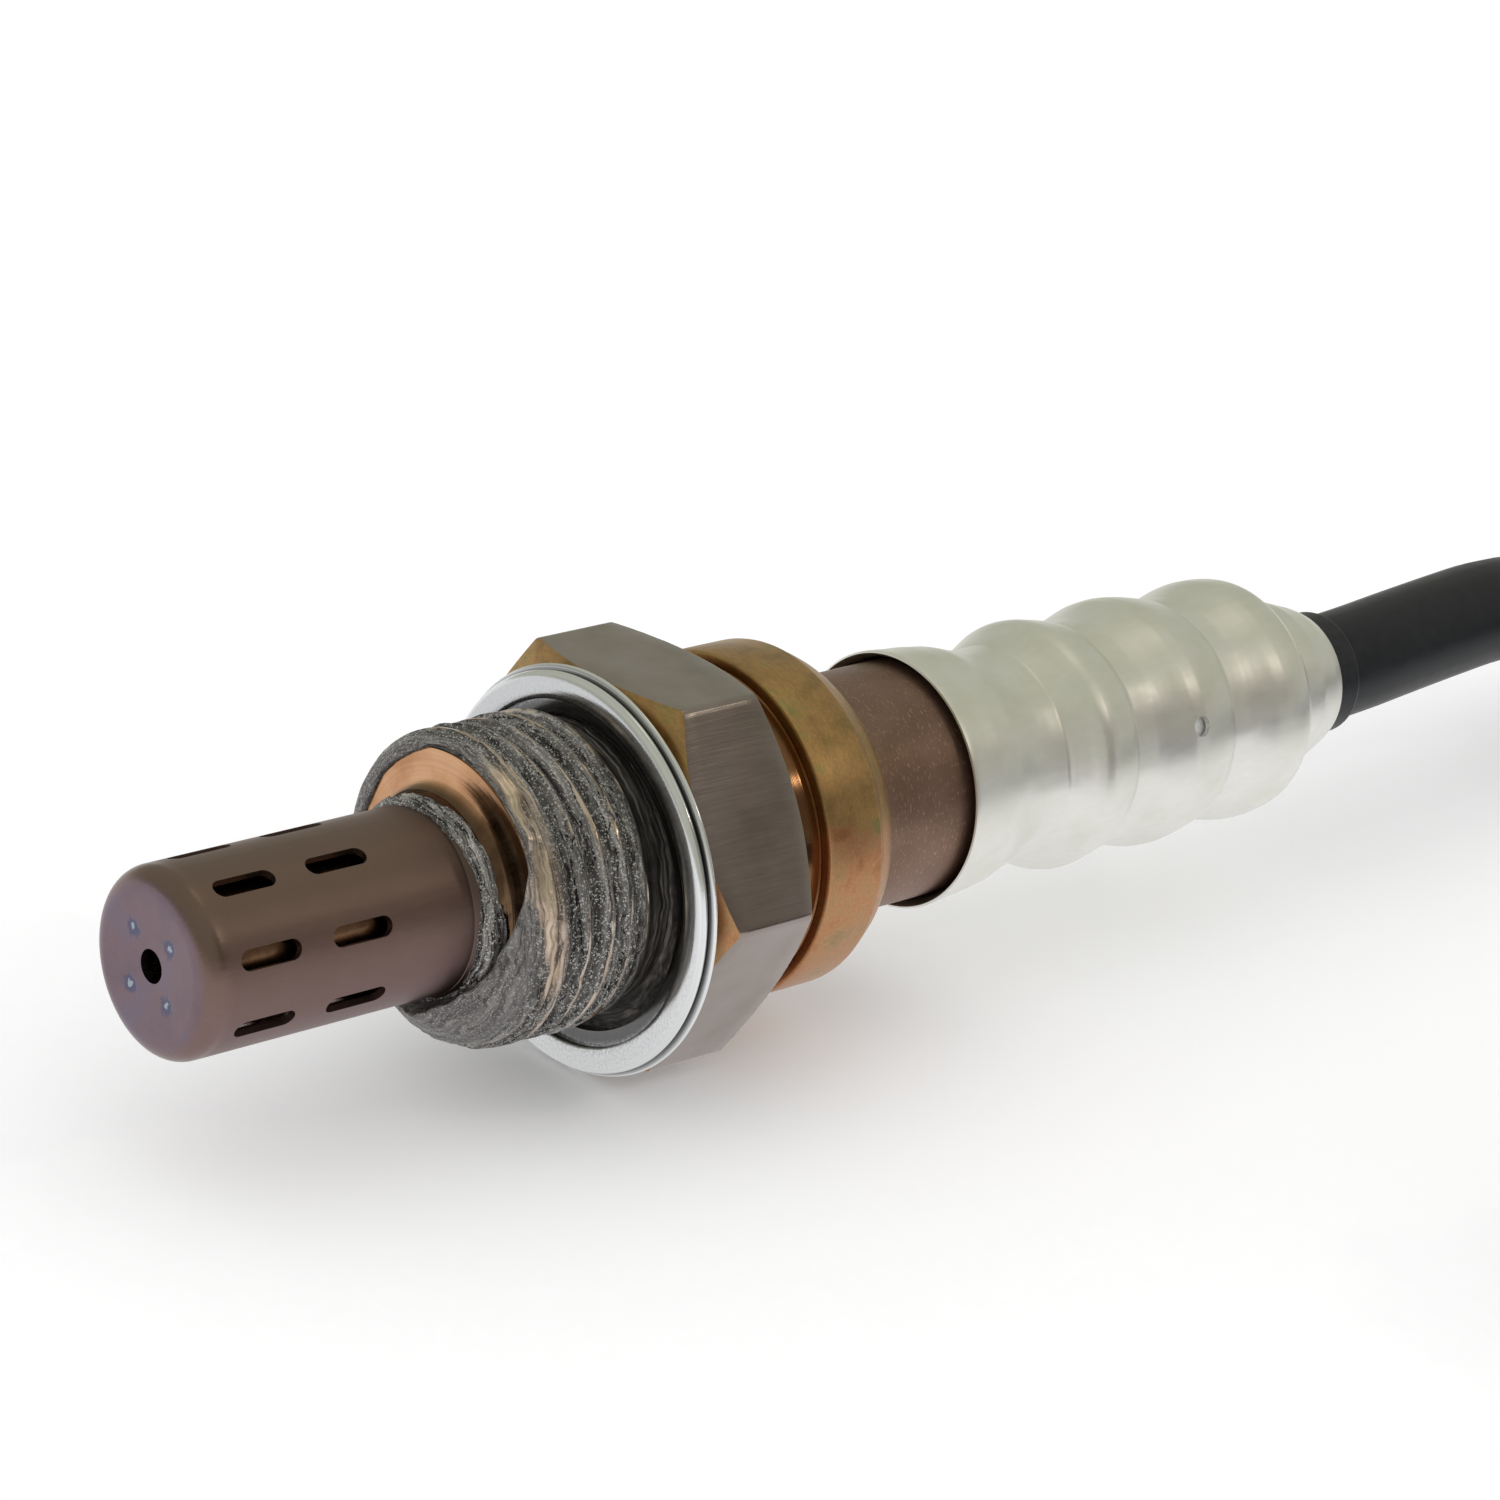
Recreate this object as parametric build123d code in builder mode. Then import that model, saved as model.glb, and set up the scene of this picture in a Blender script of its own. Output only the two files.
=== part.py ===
from build123d import *
from math import cos, pi, radians, sin, tan
import os

# Heated oxygen sensor for an exhaust pipe. It lies on its gasket, and its lead is put away in a coil.
# Millimetres. +X runs from the sensing tip to the lead, and +Z is up. A station is a distance from
# the tip's face along the sensor's axis, and a radius is measured from that axis.

# ---- Driving dimensions: protection tubes
cap_radius = 5.35
cap_wall = 0.45
cap_show = 17.4                 # tip face to the shell's nose
cap_tip_round = 1.25
cap_dish = 0.27                 # end face, deepest at its hole
cap_hole_radius = 0.95
slot_rows = 8
slot_first_angle = -70.5        # from +Z towards +Y
slot_start = 2.05               # tip face to the first slots
slot_length = 3.9
slot_gap = 2.1
slot_width = 1.15
liner_radius = 4.3
liner_wall = 0.35
liner_tip_round = 0.9
liner_hole_radius = 0.75
liner_holes = 6
liner_hole_inset = 4.5          # side holes ahead of the shell's nose
flange_radius = 6.3             # rims of both tubes, clamped inside the shell

# ---- Shell, turned from hexagon bar
nose_radius = 5.75
nose_cone = 0.8
nose_length = 2.0
nose_fillet = 0.7
nose_wall = 1.0
thread_radius = 9.0
thread_length = 6.8
thread_chamfer = 0.9
relief_radius = 8.25
relief_length = 2.8
hex_flats = 22.0
hex_length = 7.8
hex_face_radius = 10.5
hex_chamfer_angle = 30.0
neck_radius = 9.4
neck_length = 2.2
collar_radius = 10.23
collar_length = 4.2
collar_edge = 0.2
lip_length = 2.1                # crimped lip behind the collar
lip_edge_radius = 8.6
lip_wall = 1.0
bore_step_inset = 1.0           # gasket seat to the step in the bore

# ---- Gasket, folded from sheet
gasket_radius = 11.85
gasket_bore_radius = 9.1
gasket_drop = 0.6               # it hangs loose on the thread's relief
gasket_shift = 0.3
gasket_rear_fold = 0.58
gasket_front_fold = 0.52
gasket_front_radius = 11.55
gasket_front_bore = 9.95

# ---- Sensing element and what clamps it
washer_thickness = 0.7
washer_bore_radius = 4.6
element_tip_gap = 2.2
element_tip_radius = 2.6
element_root_radius = 3.3
element_collar_length = 4.0
element_collar_chamfer = 0.6
element_stem_radius = 4.0
element_stem_reach = 4.7        # behind the shell's lip
element_bore_radius = 1.75
element_end_wall = 1.0
heater_radius = 1.25
heater_reach = 8.0              # behind the element
heater_tip_gap = 1.0
packing_depth = 1.4             # behind the step in the bore
stack_radius = 7.85             # insulator, crimp ring and the sleeve's rim
crimp_ring_thickness = 0.7
crimp_ring_bore_radius = 7.2

# ---- Sleeve and outer cover
sleeve_radius = 7.13
sleeve_wall = 0.4
sleeve_show = 7.6               # bare sleeve between lip and cover
sleeve_waist_radius = 6.2       # round the contact holder
sleeve_tail_radius = 6.0        # under the filter
sleeve_taper = 2.2
sleeve_stop_taper = 0.6
sleeve_end_overlap = 1.7        # behind the last crimp
sleeve_vents = 4
sleeve_vent_radius = 0.8
cover_wall = 0.38
cover_mouth_radius = 7.78
cover_mouth_length = 7.4        # mouth to the first crimp
cover_bulge_lengths = [8.0, 8.5, 7.0]
cover_crimp_radii = [6.62, 7.08, 7.06]
cover_crown_radii = [7.72, 7.78, 7.58]
cover_shoulder_inset = 1.5      # shoulder of the last bulge ahead of the crease
cover_shoulder_radius = 7.28
cover_crease_radius = 5.6
cover_neck_length = 4.6
cover_neck_radius = 5.45
cover_rim_radius = 4.42
crimp_jaws = 8
crimp_ridge_height = 0.14
crimp_ridge_radius = 0.5
crimp_ridge_length = 2.6
cover_vents = 4
cover_vent_radius = 0.65
cover_vent_angle = -71.4

# ---- Contacts, holder, wires, filter and grommet
contact_sheet = 0.3
contact_circle_radius = 2.75
contact_blade_width = 1.4
contact_grip = 6.0              # length of the signal clip in the element's bore
ground_grip = 4.2
heater_grip = 2.4
barrel_radius = 0.9
barrel_length = 4.0
barrel_inset = 0.7
holder_inset = 3.3              # holder's front face ahead of the first crimp
holder_length = 6.7
passage_radius = 1.0
wire_radius = 0.7
wire_inset = 0.6                # wire ends inside their barrels
filter_wall = 0.55
filter_front_overlap = 1.5
filter_rear_overlap = 1.2
grommet_spigot_length = 3.0
grommet_body_length = 3.0
grommet_tail_radius = 3.92
grommet_tail_show = 2.3
grommet_tail_round = 0.3
jacket_inset = 4.9              # lead's jacket inside the grommet

# ---- Lead and coil
lead_diameter = 6.9
coil_turn_radius = 37.5
coil_entry_angle = 90.0         # where the lead comes in, from +X towards +Y
coil_exit_angle = -90.0         # where the tail leaves
coil_rise_angle = 60.0
coil_cross_angle = 42.0         # arc where the upper turn crosses over the incoming lead
coil_layer_gap = 0.2
tie_width = 6.0
tie_thickness = 0.5
tie_head_length = 7.0
tie_head_height = 3.0

# ---- Plug on the lead's end
plug_width = 20.0
plug_height = 17.6
plug_length = 25.0
plug_corner = 2.4
plug_flange_length = 2.4
plug_flange_margin = 1.0
plug_nose_width = 15.0
plug_nose_height = 12.6
plug_nose_length = 8.0
pin_pitch = 5.2
pin_size = 2.3
pin_length = 15.0
pin_bore_radius = 0.65
pin_bore_depth = 8.0
retainer_thickness = 1.5
retainer_margin = 0.7
seal_width = 2.4
seal_thickness = 1.0
latch_width = 7.0
latch_length = 17.0
latch_thickness = 1.3
latch_gap = 1.2
latch_foot_length = 3.5
latch_hook_height = 0.9
boot_length = 17.0
boot_front_radius = 7.6
boot_rear_radius = 4.8
boot_ribs = 3
boot_rib_width = 1.6

# ---- Clearances
snug = 0.02
slip = 0.1

# ---- Stations that follow from the lengths
nose_front = cap_show
thread_face = nose_front + nose_length
flange_seat = thread_face + nose_wall
liner_seat = flange_seat + cap_wall
washer_seat = liner_seat + liner_wall
element_seat = washer_seat + washer_thickness
element_collar_rear = element_seat + element_collar_length
thread_end = thread_face + thread_length
hex_seat = thread_end + relief_length
hex_rear = hex_seat + hex_length
collar_front = hex_rear + neck_length
collar_rear = collar_front + collar_length
lip_rear = collar_rear + lip_length
lip_inner = lip_rear - lip_wall
bore_radius = flange_radius + snug
stack_bore_radius = stack_radius + snug
bore_step = hex_seat + bore_step_inset
bore_step_rear = bore_step + stack_bore_radius - bore_radius
packing_rear = bore_step_rear + packing_depth
crimp_ring_front = lip_inner - crimp_ring_thickness
sleeve_front = crimp_ring_front - sleeve_wall
element_rear = lip_rear + element_stem_reach
heater_rear = element_rear + heater_reach
element_tip = cap_wall + liner_wall + element_tip_gap
cover_mouth = lip_rear + sleeve_show
crimp_1 = cover_mouth + cover_mouth_length
crimp_2 = crimp_1 + cover_bulge_lengths[0]
crimp_3 = crimp_2 + cover_bulge_lengths[1]
cover_crease = crimp_3 + cover_bulge_lengths[2]
cover_rim = cover_crease + cover_neck_length
holder_front = crimp_1 - holder_inset
holder_rear = holder_front + holder_length
sleeve_rear = crimp_3 + sleeve_end_overlap
vent_station = (crimp_2 + crimp_3) / 2
contact_rear = element_rear + heater_grip
barrel_front = holder_front + barrel_inset
wire_front = barrel_front + wire_inset
grommet_rear = cover_rim + grommet_tail_show
jacket_front = grommet_rear - jacket_inset
grommet_spigot_front = sleeve_rear - grommet_spigot_length
sensor_length = grommet_rear

hex_corner_radius = hex_flats / 2 / cos(radians(30))
lead_radius = lead_diameter / 2
axis_height = gasket_radius + gasket_drop
tip_x = -sensor_length / 2

spine = Axis((tip_x, 0, axis_height), (1, 0, 0))
side = Plane(origin=(tip_x, 0, axis_height), x_dir=(1, 0, 0), z_dir=(0, -1, 0))


def across(station):
    """Plane square to the axis, with its x along +Y and its y along +Z."""
    return Plane(origin=(tip_x + station, 0, axis_height), x_dir=(0, 1, 0), z_dir=(1, 0, 0))


def facing(angle, station, radius):
    """Plane that looks outwards at an angle from +Z towards +Y, with its x along the axis."""
    out_y = sin(radians(angle))
    out_z = cos(radians(angle))
    middle = (tip_x + station, radius * out_y, axis_height + radius * out_z)
    return Plane(origin=middle, x_dir=(1, 0, 0), z_dir=(0, out_y, out_z))


def outline(points):
    """Closed straight-edged outline in the plane of the axis, from station and radius pairs."""
    with BuildSketch(side, mode=Mode.PRIVATE) as area:
        with BuildLine():
            Polyline(*points, close=True)
        make_face()
    return area.sketch


def save(part, name):
    part.label = name
    export_step(part, "parts/" + name + ".step")


os.makedirs("parts", exist_ok=True)

# ---- Outer protection tube: a drawn cup with two rows of slots round it
with BuildPart() as outer_protection_tube:
    cap_bore = cap_radius - cap_wall
    revolve(outline([
        (0, cap_hole_radius), (-cap_dish, cap_radius), (flange_seat, cap_radius),
        (flange_seat, flange_radius), (liner_seat, flange_radius), (liner_seat, cap_bore),
        (cap_wall - cap_dish, cap_bore), (cap_wall, cap_hole_radius)]), axis=spine)
    tip_edges = outer_protection_tube.edges().filter_by(GeomType.CIRCLE).group_by(Axis.X)
    fillet(tip_edges[0].sort_by(SortBy.RADIUS)[-1], cap_tip_round)
    inner_edges = outer_protection_tube.edges().filter_by(GeomType.CIRCLE)
    cap_corner_x = tip_x + cap_wall - cap_dish
    inner_corner = inner_edges.filter_by_position(Axis.X, cap_corner_x - snug, cap_corner_x + snug)
    fillet(inner_corner.sort_by(SortBy.RADIUS)[-1], cap_tip_round - cap_wall)
    slot_pitch = slot_length + slot_gap
    for row in range(slot_rows):
        row_angle = slot_first_angle + row * 360 / slot_rows
        with BuildSketch(facing(row_angle, slot_start + slot_length / 2, cap_radius)):
            with Locations((0, 0), (slot_pitch, 0)):
                SlotOverall(slot_length, slot_width)
        extrude(amount=-3 * cap_wall, mode=Mode.SUBTRACT)
save(outer_protection_tube.part, "outer_protection_tube")

# ---- Inner protection tube, its end against the outer one's and its rim behind the outer rim
with BuildPart() as inner_protection_tube:
    liner_bore = liner_radius - liner_wall
    liner_tip = cap_wall
    liner_dish = cap_dish * (liner_radius - cap_hole_radius) / (cap_bore - cap_hole_radius)
    revolve(outline([
        (liner_tip, cap_hole_radius), (liner_tip - liner_dish, liner_radius),
        (liner_seat, liner_radius),
        (liner_seat, flange_radius), (washer_seat, flange_radius), (washer_seat, liner_bore),
        (liner_tip + liner_wall - liner_dish, liner_bore),
        (liner_tip + liner_wall, cap_hole_radius)]), axis=spine)
    tip_edges = inner_protection_tube.edges().filter_by(GeomType.CIRCLE).group_by(Axis.X)
    fillet(tip_edges[0].sort_by(SortBy.RADIUS)[-1], liner_tip_round)
    inner_edges = inner_protection_tube.edges().filter_by(GeomType.CIRCLE)
    liner_wall_x = tip_x + liner_tip + liner_wall - liner_dish
    inner_corner = inner_edges.filter_by_position(Axis.X, liner_wall_x - snug, liner_wall_x + snug)
    fillet(inner_corner.sort_by(SortBy.RADIUS)[-1], liner_tip_round - liner_wall)
    for hole in range(liner_holes):
        hole_angle = hole * 360 / liner_holes
        with BuildSketch(facing(hole_angle, nose_front - liner_hole_inset, liner_radius)):
            Circle(liner_hole_radius)
        extrude(amount=-3 * liner_wall, mode=Mode.SUBTRACT)
save(inner_protection_tube.part, "inner_protection_tube")

# ---- Shell: nose, thread, relief, hexagon, neck, collar and the lip crimped over the stack
with BuildPart() as shell:
    hex_chamfer = (hex_corner_radius - hex_face_radius) * tan(radians(hex_chamfer_angle))
    nose_bore = cap_radius + snug
    lip_bore = sleeve_radius + slip
    revolve(outline([
        (nose_front, nose_bore), (nose_front, nose_bore + snug), (nose_front + nose_cone, nose_radius),
        (thread_face, nose_radius), (thread_face, thread_radius - thread_chamfer),
        (thread_face + thread_chamfer, thread_radius), (thread_end, thread_radius),
        (thread_end + thread_radius - relief_radius, relief_radius), (hex_seat, relief_radius),
        (hex_seat, hex_face_radius), (hex_seat + hex_chamfer, hex_corner_radius),
        (hex_rear - hex_chamfer, hex_corner_radius), (hex_rear, hex_face_radius),
        (hex_rear, neck_radius), (collar_front, neck_radius), (collar_front, collar_radius),
        (collar_rear, collar_radius), (lip_rear, lip_edge_radius), (lip_rear, lip_bore),
        (lip_inner, lip_bore), (lip_inner, stack_bore_radius), (bore_step_rear, stack_bore_radius),
        (bore_step, bore_radius), (flange_seat, bore_radius), (flange_seat, nose_bore)]), axis=spine)
    with BuildSketch(across(hex_seat)):
        Circle(2 * hex_corner_radius)
        RegularPolygon(hex_flats / 2, 6, major_radius=False, mode=Mode.SUBTRACT)
    extrude(amount=hex_length, mode=Mode.SUBTRACT)
    face_rims = shell.edges().filter_by(GeomType.CIRCLE).filter_by_position(
        Axis.X, tip_x + thread_face - snug, tip_x + thread_face + snug)
    fillet(face_rims.sort_by(SortBy.RADIUS)[0], nose_fillet)
    shell_rims = shell.edges().filter_by(GeomType.CIRCLE)
    collar_band = shell_rims.filter_by_position(
        Axis.X, tip_x + collar_front - snug, tip_x + collar_rear + snug)
    fillet([rim for rim in collar_band if rim.radius > neck_radius + snug], collar_edge)
    lip_ring = shell.edges().filter_by(GeomType.CIRCLE).filter_by_position(
        Axis.X, tip_x + lip_rear - snug, tip_x + lip_rear + snug)
    fillet(lip_ring, collar_edge)
save(shell.part, "shell")

# ---- Gasket: a folded ring whose front fold is narrower than the rear one
with BuildPart() as gasket:
    gasket_plane = Plane(
        origin=(tip_x + hex_seat, -gasket_shift, axis_height - gasket_drop),
        x_dir=(1, 0, 0), z_dir=(0, -1, 0))
    with BuildSketch(gasket_plane):
        rear_middle = (-gasket_rear_fold / 2, (gasket_radius + gasket_bore_radius) / 2)
        front_middle = (
            -gasket_rear_fold - gasket_front_fold / 2, (gasket_front_radius + gasket_front_bore) / 2)
        with Locations(rear_middle):
            RectangleRounded(
                gasket_rear_fold, gasket_radius - gasket_bore_radius, gasket_rear_fold * 0.4)
        with Locations(front_middle):
            RectangleRounded(
                gasket_front_fold + 2 * snug, gasket_front_radius - gasket_front_bore,
                gasket_front_fold * 0.4)
    revolve(axis=Axis(gasket_plane.origin, (1, 0, 0)))
save(gasket.part, "gasket")

# ---- Washer between the tubes' rims and the element's collar
with BuildPart() as element_washer:
    with BuildSketch(across(washer_seat)):
        Circle(flange_radius)
        Circle(washer_bore_radius, mode=Mode.SUBTRACT)
    extrude(amount=washer_thickness)
save(element_washer.part, "element_washer")

# ---- Zirconia element: a closed thimble with a collar, bored for the heater
with BuildPart() as zirconia_element:
    collar_chamfered = flange_radius - element_collar_chamfer
    with BuildSketch(side):
        with BuildLine():
            dome_side = (element_tip + element_tip_radius, element_tip_radius)
            RadiusArc((element_tip, 0), dome_side, element_tip_radius)
            Polyline(
                dome_side, (washer_seat, element_root_radius), (element_seat, element_root_radius),
                (element_seat, collar_chamfered),
                (element_seat + element_collar_chamfer, flange_radius),
                (element_collar_rear - element_collar_chamfer, flange_radius),
                (element_collar_rear, collar_chamfered), (element_collar_rear, element_stem_radius),
                (element_rear, element_stem_radius), (element_rear, 0), (element_tip, 0))
        make_face()
    revolve(axis=spine)
    with BuildSketch(across(element_tip + element_end_wall)):
        Circle(element_bore_radius)
    extrude(amount=element_rear - element_tip, mode=Mode.SUBTRACT)
save(zirconia_element.part, "zirconia_element")

# ---- Heater rod down the middle, from the element's end wall to the holder
with BuildPart() as heater_rod:
    heater_tip = element_tip + element_end_wall + heater_tip_gap
    with BuildSketch(across(heater_tip)):
        Circle(heater_radius)
    extrude(amount=heater_rear - heater_tip)
    chamfer(heater_rod.edges().group_by(Axis.X)[0], heater_radius / 4)
save(heater_rod.part, "heater_rod")

# ---- Powder packed behind the collar, which seals the element in the shell
with BuildPart() as powder_packing:
    packing_bore = element_stem_radius + snug
    revolve(outline([
        (element_collar_rear, packing_bore), (element_collar_rear, bore_radius - snug),
        (bore_step, bore_radius - snug), (bore_step_rear, stack_radius),
        (packing_rear, stack_radius), (packing_rear, packing_bore)]), axis=spine)
save(powder_packing.part, "powder_packing")

# ---- Insulator sleeve that presses on the powder
with BuildPart() as insulator_sleeve:
    with BuildSketch(across(packing_rear)):
        Circle(stack_radius)
        Circle(element_stem_radius + slip, mode=Mode.SUBTRACT)
    extrude(amount=sleeve_front - packing_rear)
    chamfer(insulator_sleeve.edges().group_by(Axis.X)[-1].sort_by(SortBy.RADIUS)[0], slip * 3)
save(insulator_sleeve.part, "insulator_sleeve")

# ---- Crimp ring between the sleeve's rim and the shell's lip
with BuildPart() as crimp_ring:
    with BuildSketch(across(crimp_ring_front)):
        Circle(stack_radius)
        Circle(crimp_ring_bore_radius, mode=Mode.SUBTRACT)
    extrude(amount=crimp_ring_thickness)
save(crimp_ring.part, "crimp_ring")

# ---- Inner sleeve: a rim held in the shell, and a tube that steps in round the holder and filter
with BuildPart() as inner_sleeve:
    sleeve_bore = sleeve_radius - sleeve_wall
    waist_bore = sleeve_waist_radius - sleeve_wall
    tail_bore = sleeve_tail_radius - sleeve_wall
    waist_end = holder_rear + slip
    tail_start = waist_end + sleeve_stop_taper
    revolve(outline([
        (sleeve_front, sleeve_bore), (sleeve_front, stack_radius), (crimp_ring_front, stack_radius),
        (crimp_ring_front, sleeve_radius), (holder_front - sleeve_taper, sleeve_radius),
        (holder_front, sleeve_waist_radius), (waist_end, sleeve_waist_radius),
        (tail_start, sleeve_tail_radius), (sleeve_rear, sleeve_tail_radius),
        (sleeve_rear, tail_bore), (tail_start, tail_bore), (waist_end, waist_bore),
        (holder_front, waist_bore), (holder_front - sleeve_taper, sleeve_bore)]), axis=spine)
    for vent in range(sleeve_vents):
        sleeve_vent_angle = cover_vent_angle + (vent + 0.5) * 360 / sleeve_vents
        with BuildSketch(facing(sleeve_vent_angle, vent_station, sleeve_tail_radius)):
            Circle(sleeve_vent_radius)
        extrude(amount=-2 * sleeve_wall, mode=Mode.SUBTRACT)
save(inner_sleeve.part, "inner_sleeve")

# ---- Contact holder: a ceramic plug with four passages and a seat for the heater
with BuildPart() as contact_holder:
    holder_radius = sleeve_waist_radius - sleeve_wall - slip
    with BuildSketch(across(holder_front)):
        Circle(holder_radius)
        with PolarLocations(contact_circle_radius, 4, start_angle=45):
            Circle(passage_radius, mode=Mode.SUBTRACT)
    extrude(amount=holder_length)
    with BuildSketch(across(holder_front)):
        Circle(heater_radius + snug)
    extrude(amount=heater_rear - holder_front, mode=Mode.SUBTRACT)
save(contact_holder.part, "contact_holder")


def contact_tail(angle, start):
    """Blade from a station to the holder's passage, and the barrel crimped round the wire."""
    tail_plane = facing(angle, start, contact_circle_radius)
    with BuildPart(mode=Mode.PRIVATE) as tail:
        with BuildSketch(tail_plane.offset(-contact_sheet / 2)):
            with Locations(((barrel_front - start) / 2, 0)):
                Rectangle(barrel_front - start, contact_blade_width)
        extrude(amount=contact_sheet)
        barrel_plane = Plane(
            origin=facing(angle, barrel_front, contact_circle_radius).origin,
            x_dir=(0, 1, 0), z_dir=(1, 0, 0))
        with BuildSketch(barrel_plane):
            Circle(barrel_radius)
        extrude(amount=barrel_length)
        with BuildSketch(barrel_plane.offset(wire_inset)):
            Circle(wire_radius + snug)
        extrude(amount=barrel_length, mode=Mode.SUBTRACT)
    return tail.part


def contact_arm(angle, station, inner, outer):
    """Flat arm square to the axis that joins a clip to its blade."""
    with BuildPart(mode=Mode.PRIVATE) as arm:
        with BuildSketch(facing(angle, station - contact_sheet / 2, inner)):
            Rectangle(contact_sheet, contact_blade_width)
        extrude(amount=outer - inner)
    return arm.part


blade_inner = contact_circle_radius - contact_sheet / 2
blade_outer = contact_circle_radius + contact_sheet / 2

# ---- Ground contact: a clip round the element's end, with its blade at 225 degrees
with BuildPart() as ground_contact:
    ground_clip_radius = element_stem_radius + snug
    ground_clip_rear = element_rear + 4 * contact_sheet
    with BuildSketch(across(element_rear - ground_grip)):
        Circle(ground_clip_radius + contact_sheet)
        Circle(ground_clip_radius, mode=Mode.SUBTRACT)
    extrude(amount=ground_clip_rear - element_rear + ground_grip)
    add(contact_arm(225, ground_clip_rear, blade_inner, ground_clip_radius + contact_sheet / 2))
    add(contact_tail(225, ground_clip_rear - contact_sheet))
save(ground_contact.part, "ground_contact")

# ---- Signal contact: a clip inside the element's bore, with its blade at 45 degrees
with BuildPart() as signal_contact:
    signal_clip_rear = element_rear + 2 * contact_sheet
    with BuildSketch(across(element_rear - contact_grip)):
        Circle(element_bore_radius - snug)
        Circle(heater_radius + snug, mode=Mode.SUBTRACT)
    extrude(amount=signal_clip_rear - element_rear + contact_grip)
    add(contact_arm(45, signal_clip_rear, heater_radius + slip, blade_outer))
    add(contact_tail(45, signal_clip_rear - contact_sheet))
save(signal_contact.part, "signal_contact")


def heater_contact(angle):
    """Pad against the heater's side, with an arm, a blade and a barrel."""
    pad_front = contact_rear
    pad_rear = pad_front + heater_grip
    with BuildPart(mode=Mode.PRIVATE) as contact:
        with BuildSketch(across(pad_front)):
            Circle(heater_radius + snug + contact_sheet)
            Circle(heater_radius + snug, mode=Mode.SUBTRACT)
            with PolarLocations(-heater_radius, 1, start_angle=90 - angle):
                Rectangle(
                    3 * heater_radius, 6 * heater_radius, mode=Mode.SUBTRACT)
        extrude(amount=pad_rear - pad_front)
        add(contact_arm(angle, pad_rear, heater_radius + slip, blade_outer))
        add(contact_tail(angle, pad_rear - contact_sheet))
    return contact.part


# ---- Two heater contacts, opposite each other
for number, contact_angle in enumerate((135, 315), start=1):
    with BuildPart() as heater_clip:
        add(heater_contact(contact_angle))
    save(heater_clip.part, "heater_contact_" + str(number))

# ---- Four insulated wires from the barrels to the lead's jacket
for number in range(4):
    wire_angle = 45 + number * 90
    wire_origin = facing(wire_angle, wire_front, contact_circle_radius).origin
    with BuildPart() as wire:
        with BuildSketch(Plane(origin=wire_origin, x_dir=(0, 1, 0), z_dir=(1, 0, 0))):
            Circle(wire_radius)
        extrude(amount=jacket_front - wire_front)
    save(wire.part, "wire_" + str(number + 1))

# ---- Filter: a tube of porous film over the sleeve's vents, nipped by two crimps
with BuildPart() as filter_tube:
    filter_front = crimp_2 - filter_front_overlap
    with BuildSketch(across(filter_front)):
        Circle(sleeve_tail_radius + snug + filter_wall)
        Circle(sleeve_tail_radius + snug, mode=Mode.SUBTRACT)
    extrude(amount=crimp_3 + filter_rear_overlap - filter_front)
save(filter_tube.part, "filter_tube")

# ---- Grommet: spigot in the sleeve, body in the cover's last bulge, tail round the lead
with BuildPart() as grommet:
    spigot_radius = sleeve_tail_radius - sleeve_wall - snug
    body_front = sleeve_rear + slip
    body_radius = cover_crown_radii[2] - cover_wall - 4 * slip
    crease_bore = cover_crease_radius - cover_wall - 4 * slip
    revolve(outline([
        (grommet_spigot_front, 0), (grommet_spigot_front, spigot_radius),
        (body_front, spigot_radius), (body_front, body_radius),
        (body_front + grommet_body_length, body_radius), (cover_crease - slip, crease_bore),
        (cover_crease + cover_neck_length / 2, crease_bore - 2 * slip),
        (cover_rim - cover_neck_length / 6, grommet_tail_radius),
        (grommet_rear, grommet_tail_radius), (grommet_rear, 0)]), axis=spine)
    fillet(grommet.edges().group_by(Axis.X)[-1], grommet_tail_round)
    with BuildSketch(across(grommet_spigot_front)):
        with PolarLocations(contact_circle_radius, 4, start_angle=45):
            Circle(wire_radius + snug)
    extrude(amount=jacket_front - grommet_spigot_front, mode=Mode.SUBTRACT)
    with BuildSketch(across(jacket_front)):
        Circle(lead_radius + 2 * snug)
    extrude(amount=jacket_inset, mode=Mode.SUBTRACT)
save(grommet.part, "grommet")


def cover_area(inset):
    """Half outline of the cover, drawn in by an inset from its outside, closed on the axis."""
    crimps = [radius - inset for radius in cover_crimp_radii]
    crowns = [radius - inset for radius in cover_crown_radii]
    stations = [crimp_1, crimp_2, crimp_3, cover_crease]
    mouth = (cover_mouth, cover_mouth_radius - inset)
    mouth_end = (cover_mouth + cover_mouth_length * 0.15, cover_mouth_radius - inset)
    wave = [mouth_end, (crimp_1, crimps[0])]
    for bulge in range(3):
        wave.append(((stations[bulge] + stations[bulge + 1]) / 2, crowns[bulge]))
        if bulge < 2:
            wave.append((stations[bulge + 1], crimps[bulge + 1]))
    shoulder = (cover_crease - cover_shoulder_inset - inset / 4, cover_shoulder_radius - inset)
    crease = (cover_crease - inset / 2, cover_crease_radius - inset)
    neck = (cover_crease + cover_neck_length * 0.35, cover_neck_radius - inset)
    rim = (cover_rim, cover_rim_radius - inset)
    with BuildSketch(side, mode=Mode.PRIVATE) as area:
        with BuildLine():
            Line(mouth, mouth_end)
            Spline(*wave, shoulder, crease, tangents=[(1, 0)] * len(wave) + [(1, -0.8), (0.5, -1)])
            Spline(crease, neck, rim, tangents=[(1, 0), (1, -0.15), (1, -0.6)])
            Polyline(rim, (rim[0], 0), (mouth[0], 0), mouth)
        make_face()
    return area.sketch


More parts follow.
